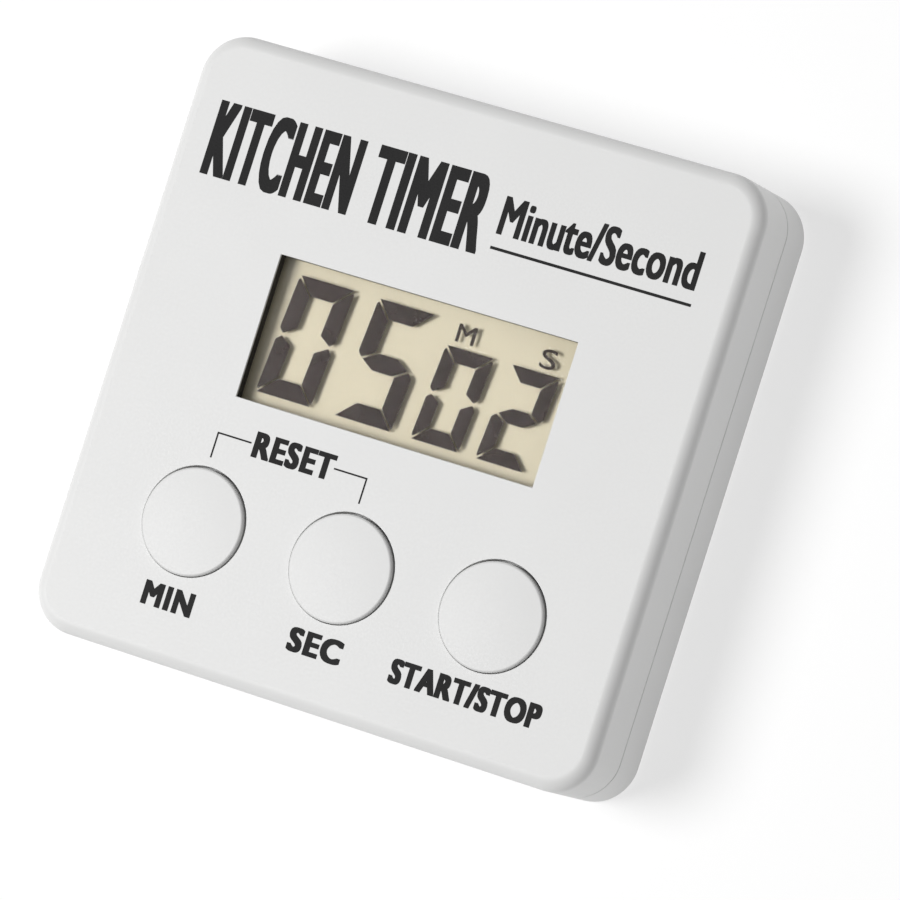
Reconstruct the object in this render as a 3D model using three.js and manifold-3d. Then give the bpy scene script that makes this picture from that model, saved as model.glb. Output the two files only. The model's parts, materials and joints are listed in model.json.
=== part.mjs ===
// Pocket kitchen timer: a flat square case with a display window, three push buttons,
// and on its back a fold-out stand, a bar magnet and a coin-slot battery cover.
// Millimetres. X runs across the face, Y up the face and Z out of the face.
// The origin is the middle of the back, on the plane that the timer lies on.

import * as THREE from 'three';
import { mergeVertices } from 'three/addons/utils/BufferGeometryUtils.js';
import Module from 'manifold-3d';

const wasm = await Module();
wasm.setup();

// ---------------------------------------------------------------- case
const CASE_WIDTH = 63;
const CASE_HEIGHT = 63;
const FRONT_DEPTH = 7.5;          // face to parting line
const REAR_DEPTH = 6;             // parting line to back
const WALL = 1.5;
const CORNER_RADIUS = 4.7;
const FACE_FILLET = 1.4;
const BACK_FILLET = 0.8;
const PARTING_GROOVE = 0.2;       // open line between the two shells
const TONGUE_THICKNESS = 0.55;
const TONGUE_HEIGHT = 1;
const FIT_GAP = 0.15;             // between moulded pieces that fit together

// ---------------------------------------------------------------- display
const WINDOW_WIDTH = 33.25;
const WINDOW_HEIGHT = 14.9;
const WINDOW_X = 0.15;
const WINDOW_Y = 3.8;
const WINDOW_LIP = 0.3;           // case thickness left over the display frame
const FRAME_RIM = 1;              // frame thickness between the lip and the glass
const FRAME_WALL = 0.8;
const GLASS_MARGIN = 1.6;         // glass past the window at the sides and the top
const GLASS_LEDGE = 3;            // glass past the window at the bottom, where the contacts are
const GLASS_PLATE = 0.4;          // one of the two plates
const REFLECTOR_THICKNESS = 0.25;
const STRIP_WIDTH = 1.6;          // conductive rubber strip

// ---------------------------------------------------------------- buttons
const CAP_RADIUS = 5.5;
const CAP_PROUD = 0.55;
const CAP_EDGE = 0.3;             // rounding of the cap's top edge
const CAP_DOME = 0.14;            // rise of the cap's middle over its edge
const CAP_GAP = 0.15;             // cap to hole, if it sat in the middle
const CAP_SAG = 0.08;             // how low the cap hangs in its hole
const BUTTON_PITCH = 16.8;
const BUTTON_ROW_UP = 14.65;      // button row above the case's bottom edge
const BUTTON_ROW_X = 0.08;        // middle button from the case's middle
const FLANGE_OUT = 1.05;          // flange radius past the cap
const FLANGE_THICKNESS = 0.8;
const FLANGE_GAP = 0.1;
const GUIDE_WALL = 0.8;           // ring on the case that guides the flange
const GUIDE_HEIGHT = 1.6;
const PLUNGER_RADIUS = 2;
const TRAVEL = 0.8;               // of the caps, until the pill meets the board

// ---------------------------------------------------------------- rubber domes
const DOME_WALL = 0.4;
const DOME_FOOT_RADIUS = 4.4;
const DOME_BASE_RADIUS = 3.4;
const DOME_TOP_RADIUS = 2.4;
const PILL_RADIUS = 1.6;
const PILL_THICKNESS = 0.3;
const SMALL_GAP = 0.05;
const DOME_HEIGHT = DOME_WALL + PILL_THICKNESS + TRAVEL + 2 * SMALL_GAP;

// ---------------------------------------------------------------- circuit board
const BOARD_DEPTH = 4.9;          // face to the board's front side
const BOARD_THICKNESS = 1;
const BOARD_SIDE_GAP = 2.6;       // board to the case's inner side walls
const BOARD_CELL_GAP = 1;         // board to the battery well
const BOARD_SCREW_IN = 3;         // board screw in from the board's side edge
const BOARD_SCREW_DOWN = 2.3;     // upper screws down from the board's top edge
const BOARD_SCREW_UP = 14.9;      // lower screws up from the board's bottom edge
const BOSS_RADIUS = 1.9;
const CHIP_BLOB = { radius: 4.6, height: 1.2, up: 3 };
const CRYSTAL = { radius: 1, length: 6, in: 16, up: 1 };
const INDUCTOR = { rim: 2.6, waist: 2, height: 3.4, cheek: 0.7, in: 7.5, up: 4 };
const CHIP_PARTS = {              // right and up from the board's middle, then the sizes
	transistor: { right: -8.5, up: -4.5, width: 2.9, height: 1.3, depth: 1, finish: 'epoxy' },
	capacitor_1: { right: 8, up: -3, width: 2, height: 1.25, depth: 0.9, finish: 'ceramic' },
	capacitor_2: { right: -8.5, up: 8, width: 2, height: 1.25, depth: 0.9, finish: 'ceramic' },
	resistor_1: { right: 5, up: -6.5, width: 1.6, height: 0.8, depth: 0.5, finish: 'epoxy' },
	resistor_2: { right: -4, up: -6.5, width: 1.6, height: 0.8, depth: 0.5, finish: 'epoxy' },
};

// ---------------------------------------------------------------- screws
const CASE_SCREW_INSET = 5.7;     // from the case's sides
const POST_RADIUS = 3;
const CASE_SCREW = { head: 1.7, headHeight: 1.2, shank: 0.85, length: 8.4 };
const BOARD_SCREW = { head: 1.6, headHeight: 1.1, shank: 0.75, length: 3.4 };
const SCREW_SUNK = 0.6;           // case screw's head below the back
const HEAD_GAP = 0.2;
const SHANK_GAP = 0.1;
const PASS_GAP = 0.35;            // clearance hole through the rear post and the board
const CROSS_WIDTH = 0.45;
const CROSS_REACH = 0.62;         // share of the head's radius
const CROSS_DEPTH = 0.6;          // share of the head's height
const HEAD_EDGE = 0.4;

// ---------------------------------------------------------------- battery
const CELL_RADIUS = 5.8;
const CELL_HEIGHT = 5.4;
const CELL_CAP_RADIUS = 4.7;
const CELL_CAP_HEIGHT = 0.3;
const CELL_GAP = 0.3;             // cell to well
const BATTERY_IN = 15;            // battery axis from the case's right side
const BATTERY_DOWN = 12.5;        // and from its top
const WELL_WALL = 1.1;
const WELL_ROOM = 0.75;           // over the cell, for the contact leaf
const WELL_CAP = 0.6;             // plastic over that room
const COVER_RADIUS = 8.5;
const COVER_THICKNESS = 1.4;
const COVER_SUNK = 0.05;
const COVER_GAP = 0.2;
const NECK_RADIUS = 7.6;          // the cover's inner ring
const NECK_HEIGHT = 1.2;
const NECK_WALL = 1.1;
const LUG_OUT = 0.85;
const LUG_THICKNESS = 0.6;
const LUG_WIDTH = 3.2;
const LUG_GAP = 0.12;
const UNLOCK_ANGLE = 50;          // degrees from locked to the entry slots
const SEAT_WALL = 1.1;            // plastic round the bayonet groove
const COIN_SLOT = { length: 9, width: 1.6, depth: 0.8 };
const CONTACT_THICKNESS = 0.25;
const CONTACT_WIDTH = 3.6;
const CONTACT_TAB = 1.4;          // tab outside the well
const SLOT_GAP = 0.3;

// ---------------------------------------------------------------- sounder
const SOUNDER_IN = 15;            // sounder axis from the case's left side
const SOUNDER_DOWN = 12.5;        // and from its top
const SOUNDER_RADIUS = 8.4;
const SOUNDER_PLATE = 0.3;
const CERAMIC_RADIUS = 6;
const CERAMIC_THICKNESS = 0.25;
const SOUNDER_SHELF = 0.9;        // shelf under the plate's rim
const SOUNDER_RISE = 0.7;         // plate above the case floor
const SOUNDER_WALL = 0.8;
const SOUND_HOLE_RADIUS = 0.7;
const SOUND_HOLE_RING = 3.2;

// ---------------------------------------------------------------- magnet
const MAGNET = { width: 10, height: 18, depth: 2.2 };
const MAGNET_TOP = 4.5;           // magnet's top edge from the case's top
const MAGNET_SUNK = 0.15;
const POCKET_WALL = 1;

// ---------------------------------------------------------------- stand
const LEG_WIDTH = 22;
const LEG_LENGTH = 25;            // hinge axis to the free end
const LEG_THICKNESS = 2;
const LEG_CORNER = 2.5;
const LEG_SUNK = 0.25;
const HINGE_Y = 0.5;
const HINGE_Z = 1.55;
const BARREL_RADIUS = 1.3;
const PIN_RADIUS = 0.8;
const PIN_LENGTH = 1.3;
const PIN_GAP = 0.1;
const LEG_GAP = 0.35;             // leg to recess
const NAIL_NOTCH = { width: 10, length: 3.4 };
const GRIP = { count: 3, pitch: 1.8, width: 0.8, depth: 0.3 };

// ---------------------------------------------------------------- leads
const LEAD_RADIUS = 0.4;
const LEAD_SIDES = 8;
const LEAD_STEPS = 10;
const LEAD_RISE = 1.8;            // straight stretch off the sounder
const LEAD_DROP = 0.9;            // straight stretch off a battery contact
const SOUNDER_JOINT_SIDE = 1.5;   // sounder's joints to either side of its middle
const CERAMIC_JOINT_IN = 3;       // ceramic's joint in from the plate's
const LEAD_SPREAD = {             // board end, right of the joint
	sounderRed: 0.7, sounderBlack: -0.5, batteryRed: 0.4, batteryBlack: 2,
};
const TOUCH_GAP = 0.3;

// ---------------------------------------------------------------- fineness
const ROUND = 28;                 // sides of a large circle
const SMALL_ROUND = 12;           // sides of a screw or a pin
const CORNER_STEPS = 6;
const FILLET_STEPS = 3;
const PAST = 1;                   // how far a cutter runs past what it cuts

// ---------------------------------------------------------------- worked out from the above
const HALF_WIDTH = CASE_WIDTH / 2;
const HALF_HEIGHT = CASE_HEIGHT / 2;
const FACE_Z = REAR_DEPTH + FRONT_DEPTH;
const CEILING_Z = FACE_Z - WALL;
const FLOOR_Z = WALL;

const BUTTON_Y = BUTTON_ROW_UP - HALF_HEIGHT;
const CAP_Y = BUTTON_Y - CAP_SAG;
const HOLE_RADIUS = CAP_RADIUS + CAP_GAP;
const FLANGE_RADIUS = CAP_RADIUS + FLANGE_OUT;
const FLANGE_TOP = CEILING_Z - FLANGE_GAP;

const BOARD_TOP = FACE_Z - BOARD_DEPTH;
const BOARD_BOTTOM = BOARD_TOP - BOARD_THICKNESS;
const DOME_TOP = BOARD_TOP + DOME_HEIGHT;

const BATTERY = { x: HALF_WIDTH - BATTERY_IN, y: HALF_HEIGHT - BATTERY_DOWN };
const SOUNDER = { x: SOUNDER_IN - HALF_WIDTH, y: HALF_HEIGHT - SOUNDER_DOWN };
const WELL_RADIUS = CELL_RADIUS + CELL_GAP;
const WELL_OUTER = WELL_RADIUS + WELL_WALL;
const COVER_TOP = COVER_SUNK + COVER_THICKNESS;
const CELL_BOTTOM = COVER_TOP + LUG_GAP;
const CELL_TOP = CELL_BOTTOM + CELL_HEIGHT;
const WELL_CEILING = CELL_TOP + WELL_ROOM;
const NECK_TOP = COVER_TOP + NECK_HEIGHT;
const LUG_BOTTOM = NECK_TOP - LUG_THICKNESS;
const GROOVE_TOP = NECK_TOP + LUG_GAP;
const GROOVE_RADIUS = NECK_RADIUS + LUG_OUT + COVER_GAP;
const SEAT_RADIUS = GROOVE_RADIUS + SEAT_WALL;
const SEAT_TOP = GROOVE_TOP + WALL / 2;

const BOARD = {
	left: WALL + BOARD_SIDE_GAP - HALF_WIDTH,
	right: HALF_WIDTH - WALL - BOARD_SIDE_GAP,
	bottom: CASE_SCREW_INSET + POST_RADIUS + 2 * FIT_GAP - HALF_HEIGHT,
	top: BATTERY.y - WELL_OUTER - BOARD_CELL_GAP,
};
const BOARD_MIDDLE_Y = (BOARD.top + BOARD.bottom) / 2;

const WINDOW = {
	left: WINDOW_X - WINDOW_WIDTH / 2,
	right: WINDOW_X + WINDOW_WIDTH / 2,
	bottom: WINDOW_Y - WINDOW_HEIGHT / 2,
	top: WINDOW_Y + WINDOW_HEIGHT / 2,
};
const GLASS = {
	left: WINDOW.left - GLASS_MARGIN,
	right: WINDOW.right + GLASS_MARGIN,
	bottom: WINDOW.bottom - GLASS_LEDGE,
	top: WINDOW.top + GLASS_MARGIN,
};
const FRAME_TOP = FACE_Z - WINDOW_LIP;
const GLASS_TOP = FRAME_TOP - FRAME_RIM;
const GLASS_MIDDLE = GLASS_TOP - GLASS_PLATE;
const GLASS_BOTTOM = GLASS_MIDDLE - GLASS_PLATE;

const MAGNET_Y = HALF_HEIGHT - MAGNET_TOP - MAGNET.height / 2;
const RECESS_TOP = HINGE_Z + BARREL_RADIUS + LEG_GAP;
const LEG_END = HINGE_Y - LEG_LENGTH;

// ================================================================ geometry helpers

// A closed mesh geometry as a solid that can be cut and joined.
function solid(geometry) {
	const bare = geometry.clone();
	bare.deleteAttribute('normal');
	bare.deleteAttribute('uv');
	const merged = mergeVertices(bare, 1e-5);
	const index = merged.index.array;
	const triangles = [];
	for (let i = 0; i < index.length; i += 3) {
		const [a, b, c] = [index[i], index[i + 1], index[i + 2]];
		if (a !== b && b !== c && c !== a) triangles.push(a, b, c);
	}
	return new wasm.Manifold(new wasm.Mesh({
		numProp: 3,
		vertProperties: Float32Array.from(merged.attributes.position.array),
		triVerts: Uint32Array.from(triangles),
	}));
}

function geometryOf(body) {
	const mesh = body.getMesh();
	const geometry = new THREE.BufferGeometry();
	geometry.setAttribute('position', new THREE.BufferAttribute(Float32Array.from(mesh.vertProperties), 3));
	geometry.setIndex(new THREE.BufferAttribute(Uint32Array.from(mesh.triVerts), 1));
	geometry.computeVertexNormals();
	return geometry;
}

function join(...bodies) {
	return bodies.reduce((sum, body) => sum.add(body));
}

function cut(body, ...tools) {
	return tools.reduce((rest, tool) => rest.subtract(tool), body);
}

function block(x0, x1, y0, y1, z0, z1) {
	const geometry = new THREE.BoxGeometry(x1 - x0, y1 - y0, z1 - z0);
	return solid(geometry.translate((x0 + x1) / 2, (y0 + y1) / 2, (z0 + z1) / 2));
}

function disc(radius, z0, z1, x = 0, y = 0, sides = ROUND) {
	const geometry = new THREE.CylinderGeometry(radius, radius, z1 - z0, sides);
	return solid(geometry.rotateX(Math.PI / 2).translate(x, y, (z0 + z1) / 2));
}

function ring(outer, inner, z0, z1, x = 0, y = 0) {
	return cut(disc(outer, z0, z1, x, y), disc(inner, z0 - PAST, z1 + PAST, x, y));
}

function rodX(radius, x0, x1, y, z) {
	const geometry = new THREE.CylinderGeometry(radius, radius, x1 - x0, SMALL_ROUND);
	return solid(geometry.rotateZ(Math.PI / 2).translate((x0 + x1) / 2, y, z));
}

// A turned piece: profile points are [radius, height], from the bottom of the axis to its top.
function turned(profile, x = 0, y = 0, sides = ROUND) {
	const geometry = new THREE.LatheGeometry(profile.map(([r, h]) => new THREE.Vector2(r, h)), sides);
	return solid(geometry.rotateX(Math.PI / 2).translate(x, y, 0));
}

function arc(centreR, centreH, radius, fromDegrees, toDegrees, steps) {
	return Array.from({ length: steps + 1 }, (_, i) => {
		const angle = THREE.MathUtils.degToRad(fromDegrees + (toDegrees - fromDegrees) * i / steps);
		return [centreR + radius * Math.cos(angle), centreH + radius * Math.sin(angle)];
	});
}

function roundedOutline(x0, x1, y0, y1, radius) {
	const outline = new THREE.Shape();
	const quarter = Math.PI / 2;
	outline.absarc(x1 - radius, y1 - radius, radius, 0, quarter, false);
	outline.absarc(x0 + radius, y1 - radius, radius, quarter, 2 * quarter, false);
	outline.absarc(x0 + radius, y0 + radius, radius, 2 * quarter, 3 * quarter, false);
	outline.absarc(x1 - radius, y0 + radius, radius, 3 * quarter, 4 * quarter, false);
	outline.closePath();
	return outline;
}

function plate(x0, x1, y0, y1, z0, z1, radius) {
	const geometry = new THREE.ExtrudeGeometry(roundedOutline(x0, x1, y0, y1, radius), {
		depth: z1 - z0, bevelEnabled: false, curveSegments: CORNER_STEPS / 2,
	});
	return solid(geometry.translate(0, 0, z0));
}

// A slab whose top and bottom edges are both rounded by the fillet.
function filletedPlate(x0, x1, y0, y1, z0, z1, radius, fillet) {
	const geometry = new THREE.ExtrudeGeometry(roundedOutline(x0, x1, y0, y1, radius), {
		depth: z1 - z0 - 2 * fillet, curveSegments: CORNER_STEPS / 2, bevelEnabled: true,
		bevelThickness: fillet, bevelSize: fillet, bevelOffset: -fillet, bevelSegments: FILLET_STEPS,
	});
	return solid(geometry.translate(0, 0, z0 + fillet));
}

// The case's outline, moved in by inset, between two heights.
function casePlate(inset, z0, z1) {
	const [w, h] = [HALF_WIDTH - inset, HALF_HEIGHT - inset];
	return plate(-w, w, -h, h, z0, z1, Math.max(CORNER_RADIUS - inset, WALL));
}

function caseSlab(z0, z1, fillet) {
	return filletedPlate(-HALF_WIDTH, HALF_WIDTH, -HALF_HEIGHT, HALF_HEIGHT, z0, z1, CORNER_RADIUS, fillet);
}

function corners(inset) {
	const [x, y] = [HALF_WIDTH - inset, HALF_HEIGHT - inset];
	return [[-x, -y], [x, -y], [x, y], [-x, y]];
}

function boardScrewPlaces() {
	const [left, right] = [BOARD.left + BOARD_SCREW_IN, BOARD.right - BOARD_SCREW_IN];
	const [low, high] = [BOARD.bottom + BOARD_SCREW_UP, BOARD.top - BOARD_SCREW_DOWN];
	return [[left, low], [right, low], [right, high], [left, high]];
}

function buttonPlaces() {
	return { min: BUTTON_ROW_X - BUTTON_PITCH, sec: BUTTON_ROW_X, start_stop: BUTTON_ROW_X + BUTTON_PITCH };
}

// ================================================================ case

const TONGUE_OUTSIDE = WALL - TONGUE_THICKNESS;

function frontCase() {
	const outside = caseSlab(REAR_DEPTH - 2 * PAST - FACE_FILLET, FACE_Z, FACE_FILLET);
	const below = block(-CASE_WIDTH, CASE_WIDTH, -CASE_HEIGHT, CASE_HEIGHT, -FACE_Z, REAR_DEPTH);
	let shell = cut(outside, below, casePlate(WALL, REAR_DEPTH - PAST, CEILING_Z));
	for (const [x, y] of corners(CASE_SCREW_INSET)) {
		shell = shell.add(disc(POST_RADIUS, REAR_DEPTH, CEILING_Z + PAST / 2, x, y));
	}
	for (const [x, y] of boardScrewPlaces()) {
		shell = shell.add(disc(BOSS_RADIUS, BOARD_TOP, CEILING_Z + PAST / 2, x, y, SMALL_ROUND));
	}
	for (const x of Object.values(buttonPlaces())) {
		const inner = FLANGE_RADIUS + CAP_GAP;
		shell = shell.add(ring(inner + GUIDE_WALL, inner, CEILING_Z - GUIDE_HEIGHT, CEILING_Z + PAST / 2, x, BUTTON_Y));
		shell = shell.subtract(disc(HOLE_RADIUS, CEILING_Z - PAST, FACE_Z + PAST, x, BUTTON_Y));
	}
	return cut(shell, ...frontCaseCuts());
}

function frontCaseCuts() {
	const margin = FRAME_WALL + 2 * FIT_GAP;
	const screwTop = CASE_SCREW.length + SCREW_SUNK + CASE_SCREW.headHeight + TOUCH_GAP;
	const boardScrewTop = BOARD_BOTTOM + BOARD_SCREW.length + TOUCH_GAP;
	return [
		casePlate(TONGUE_OUTSIDE - FIT_GAP, REAR_DEPTH - PAST, REAR_DEPTH + TONGUE_HEIGHT + FIT_GAP)
			.subtract(cornerPosts(REAR_DEPTH - 2 * PAST, CEILING_Z)),
		plate(WINDOW.left, WINDOW.right, WINDOW.bottom, WINDOW.top, CEILING_Z, FACE_Z + PAST, FIT_GAP),
		block(GLASS.left - margin, GLASS.right + margin, GLASS.bottom - margin, GLASS.top + margin,
			BOARD_TOP, FRAME_TOP),
		...corners(CASE_SCREW_INSET).map(([x, y]) =>
			disc(CASE_SCREW.shank + SHANK_GAP, REAR_DEPTH - PAST, screwTop, x, y, SMALL_ROUND)),
		...boardScrewPlaces().map(([x, y]) =>
			disc(BOARD_SCREW.shank + SHANK_GAP, BOARD_TOP - PAST, boardScrewTop, x, y, SMALL_ROUND)),
	];
}

function cornerPosts(z0, z1) {
	return join(...corners(CASE_SCREW_INSET).map(([x, y]) => disc(POST_RADIUS, z0, z1, x, y)));
}

function rearCase() {
	const outside = caseSlab(0, REAR_DEPTH + 2 * PAST + BACK_FILLET, BACK_FILLET);
	const top = REAR_DEPTH - PARTING_GROOVE;
	const above = block(-CASE_WIDTH, CASE_WIDTH, -CASE_HEIGHT, CASE_HEIGHT, top, 2 * FACE_Z);
	const tray = cut(outside, above, casePlate(WALL, FLOOR_Z, FACE_Z));
	const tongue = cut(
		casePlate(TONGUE_OUTSIDE, top - PAST, REAR_DEPTH + TONGUE_HEIGHT),
		casePlate(WALL, top - 2 * PAST, FACE_Z),
		clearedPosts(),
	);
	const shell = join(
		tray, tongue, cornerPosts(PAST / 2, REAR_DEPTH),
		batteryWell(), standHousing(), magnetHousing(), sounderRing(),
	);
	return cut(shell, ...batteryCuts(), ...standCuts(), ...magnetCuts(), ...soundHoles(), ...caseScrewHoles());
}

// Room in the tongue for the front shell's posts.
function clearedPosts() {
	return join(...corners(CASE_SCREW_INSET).map(([x, y]) =>
		disc(POST_RADIUS + FIT_GAP, REAR_DEPTH, FACE_Z, x, y)));
}

function caseScrewHoles() {
	return corners(CASE_SCREW_INSET).flatMap(([x, y]) => [
		disc(CASE_SCREW.head + HEAD_GAP, -PAST, SCREW_SUNK + CASE_SCREW.headHeight, x, y),
		disc(CASE_SCREW.shank + PASS_GAP, 0, REAR_DEPTH + PAST, x, y, SMALL_ROUND),
	]);
}

// ================================================================ battery compartment

function batteryWell() {
	const { x, y } = BATTERY;
	return join(
		disc(SEAT_RADIUS, 0, SEAT_TOP, x, y),
		disc(WELL_OUTER, WALL, WELL_CEILING + WELL_CAP, x, y),
	);
}

function batteryCuts() {
	const { x, y } = BATTERY;
	const ledgeHole = NECK_RADIUS + COVER_GAP;
	const wallTop = CELL_TOP + CONTACT_THICKNESS;
	const entry = turnAbout(BATTERY, -UNLOCK_ANGLE, block(
		x - GROOVE_RADIUS, x + GROOVE_RADIUS, y - LUG_WIDTH / 2 - SLOT_GAP, y + LUG_WIDTH / 2 + SLOT_GAP,
		COVER_TOP, GROOVE_TOP - LUG_GAP,
	));
	const slotWidth = CONTACT_WIDTH / 2 + SLOT_GAP;
	return [
		disc(COVER_RADIUS + COVER_GAP, -PAST, COVER_TOP + LUG_GAP, x, y),
		disc(ledgeHole, 0, GROOVE_TOP, x, y),
		disc(GROOVE_RADIUS, LUG_BOTTOM - LUG_GAP, GROOVE_TOP, x, y),
		disc(WELL_RADIUS, WALL, WELL_CEILING, x, y),
		entry,
		block(x - WELL_OUTER - PAST, x, y - slotWidth, y + slotWidth, SEAT_TOP + SLOT_GAP, wallTop + SLOT_GAP),
		block(x - slotWidth, x + slotWidth, y - WELL_OUTER - PAST, y, CELL_TOP, WELL_CEILING),
	];
}

function turnAbout(place, degrees, body) {
	return body.translate([-place.x, -place.y, 0]).rotate([0, 0, degrees]).translate([place.x, place.y, 0]);
}

function batteryCover() {
	const { x, y } = BATTERY;
	const lid = turned([
		[0, COVER_SUNK],
		...arc(COVER_RADIUS - 0.3, COVER_SUNK + 0.3, 0.3, -90, 0, 3),
		[COVER_RADIUS, COVER_TOP],
		[0, COVER_TOP],
	], x, y);
	const neck = ring(NECK_RADIUS, NECK_RADIUS - NECK_WALL, COVER_TOP - PAST / 2, NECK_TOP, x, y);
	const lugs = block(x - NECK_RADIUS - LUG_OUT, x + NECK_RADIUS + LUG_OUT,
		y - LUG_WIDTH / 2, y + LUG_WIDTH / 2, LUG_BOTTOM, NECK_TOP)
		.intersect(ring(NECK_RADIUS + LUG_OUT, NECK_RADIUS - NECK_WALL, LUG_BOTTOM - PAST, NECK_TOP + PAST, x, y));
	const slot = plate(x - COIN_SLOT.length / 2, x + COIN_SLOT.length / 2,
		y - COIN_SLOT.width / 2, y + COIN_SLOT.width / 2,
		COVER_SUNK - PAST, COVER_SUNK + COIN_SLOT.depth, COIN_SLOT.width * 0.45);
	return cut(join(lid, neck, lugs), slot);
}

function buttonCell() {
	const shoulder = CELL_TOP - CELL_CAP_HEIGHT;
	const edge = 0.3;
	return turned([
		[0, CELL_BOTTOM],
		...arc(CELL_RADIUS - edge, CELL_BOTTOM + edge, edge, -90, 0, 3),
		...arc(CELL_RADIUS - edge, shoulder - edge, edge, 0, 90, 3),
		[CELL_CAP_RADIUS, shoulder],
		[CELL_CAP_RADIUS - edge / 2, CELL_TOP],
		[0, CELL_TOP],
	], BATTERY.x, BATTERY.y);
}

// A bent strip of sheet metal: its side view as [out, height] points, then the same points back,
// one thickness higher or further in. It lies across the width and is turned about the battery.
function bentStrip(lower, upper, degrees) {
	const outline = new THREE.Shape([...lower, ...upper].map(([out, height]) => new THREE.Vector2(out, height)));
	const geometry = new THREE.ExtrudeGeometry(outline, { depth: CONTACT_WIDTH, bevelEnabled: false });
	geometry.translate(0, 0, -CONTACT_WIDTH / 2).rotateX(Math.PI / 2);
	geometry.rotateZ(THREE.MathUtils.degToRad(degrees)).translate(BATTERY.x, BATTERY.y, 0);
	return solid(geometry);
}

function positiveContact() {
	const t = CONTACT_THICKNESS;
	const inner = CELL_RADIUS + SMALL_GAP;
	const outer = WELL_OUTER + CONTACT_TAB;
	const foot = SEAT_TOP + 2 * SLOT_GAP;
	return bentStrip(
		[[inner, foot], [inner + t, foot], [inner + t, CELL_TOP - t], [outer, CELL_TOP - t]],
		[[outer, CELL_TOP], [inner, CELL_TOP]],
		180,
	);
}

function negativeContact() {
	const t = CONTACT_THICKNESS;
	const low = CELL_TOP + SMALL_GAP;
	const high = low + t;
	const [bend, outer] = [CELL_CAP_RADIUS / 2, WELL_OUTER + CONTACT_TAB / 2];
	return bentStrip(
		[[0, low], [bend, low], [CELL_CAP_RADIUS, high], [outer, high]],
		[[outer, high + t], [CELL_CAP_RADIUS, high + t], [bend, low + t], [0, low + t]],
		-90,
	);
}

// ================================================================ stand

const HOUSING_SIDE = LEG_WIDTH / 2 + LEG_GAP;
const HOUSING_HEAD = HINGE_Y + BARREL_RADIUS + LEG_GAP;

function standHousing() {
	const side = HOUSING_SIDE + PIN_LENGTH + WALL / 2;
	const foot = LEG_END - NAIL_NOTCH.length - POCKET_WALL;
	return block(-side, side, foot, HOUSING_HEAD + POCKET_WALL, 0, RECESS_TOP + POCKET_WALL);
}

function standCuts() {
	const foot = LEG_END - LEG_GAP;
	return [
		plate(-HOUSING_SIDE, HOUSING_SIDE, foot, HOUSING_HEAD, -PAST, RECESS_TOP, PIN_RADIUS),
		plate(-NAIL_NOTCH.width / 2, NAIL_NOTCH.width / 2, LEG_END - NAIL_NOTCH.length, foot + PAST,
			-PAST, RECESS_TOP - POCKET_WALL / 2, PIN_RADIUS),
		rodX(PIN_RADIUS + PIN_GAP, -HOUSING_SIDE - PIN_LENGTH, HOUSING_SIDE + PIN_LENGTH, HINGE_Y, HINGE_Z),
	];
}

function standLeg() {
	const half = LEG_WIDTH / 2;
	const paddle = plate(-half, half, LEG_END, HINGE_Y + LEG_CORNER, LEG_SUNK, LEG_SUNK + LEG_THICKNESS, LEG_CORNER);
	const head = block(-LEG_WIDTH, LEG_WIDTH, HINGE_Y, HINGE_Y + CASE_HEIGHT, -PAST, FACE_Z);
	const barrel = rodX(BARREL_RADIUS, -half, half, HINGE_Y, HINGE_Z);
	const pinReach = HOUSING_SIDE + PIN_LENGTH - TOUCH_GAP;
	const pins = rodX(PIN_RADIUS, -pinReach, pinReach, HINGE_Y, HINGE_Z);
	const grooves = Array.from({ length: GRIP.count }, (_, i) => {
		const y = LEG_END + GRIP.pitch * (i + 1);
		return block(-half / 2, half / 2, y - GRIP.width / 2, y + GRIP.width / 2, -PAST, LEG_SUNK + GRIP.depth);
	});
	return cut(join(paddle.subtract(head), barrel, pins), ...grooves);
}

// ================================================================ magnet

function magnetBlock(gap, z0, z1) {
	const [w, h] = [MAGNET.width / 2 + gap, MAGNET.height / 2 + gap];
	return block(-w, w, MAGNET_Y - h, MAGNET_Y + h, z0, z1);
}

function magnetHousing() {
	return magnetBlock(FIT_GAP + POCKET_WALL, 0, MAGNET_SUNK + MAGNET.depth + FIT_GAP + POCKET_WALL);
}

function magnetCuts() {
	return [magnetBlock(FIT_GAP, -PAST, MAGNET_SUNK + MAGNET.depth + FIT_GAP)];
}

function magnetBar() {
	return magnetBlock(0, MAGNET_SUNK, MAGNET_SUNK + MAGNET.depth);
}

// ================================================================ sounder

const SOUNDER_Z = FLOOR_Z + SOUNDER_RISE;

function sounderRing() {
	const { x, y } = SOUNDER;
	const inner = SOUNDER_RADIUS + FIT_GAP;
	const outer = inner + SOUNDER_WALL;
	return join(
		ring(outer, SOUNDER_RADIUS - SOUNDER_SHELF, WALL / 2, SOUNDER_Z, x, y),
		ring(outer, inner, WALL / 2, SOUNDER_Z + 2 * SOUNDER_PLATE, x, y),
	);
}

function soundHoles() {
	const { x, y } = SOUNDER;
	const places = [[x, y]];
	for (let i = 0; i < 6; i++) {
		const angle = i * Math.PI / 3;
		places.push([x + SOUND_HOLE_RING * Math.cos(angle), y + SOUND_HOLE_RING * Math.sin(angle)]);
	}
	return places.map(([hx, hy]) => disc(SOUND_HOLE_RADIUS, -PAST, FLOOR_Z + PAST / 2, hx, hy, SMALL_ROUND));
}

function sounderPlate() {
	return disc(SOUNDER_RADIUS, SOUNDER_Z, SOUNDER_Z + SOUNDER_PLATE, SOUNDER.x, SOUNDER.y);
}

function sounderCeramic() {
	const z = SOUNDER_Z + SOUNDER_PLATE;
	return disc(CERAMIC_RADIUS, z, z + CERAMIC_THICKNESS, SOUNDER.x, SOUNDER.y);
}

// ================================================================ display

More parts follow.
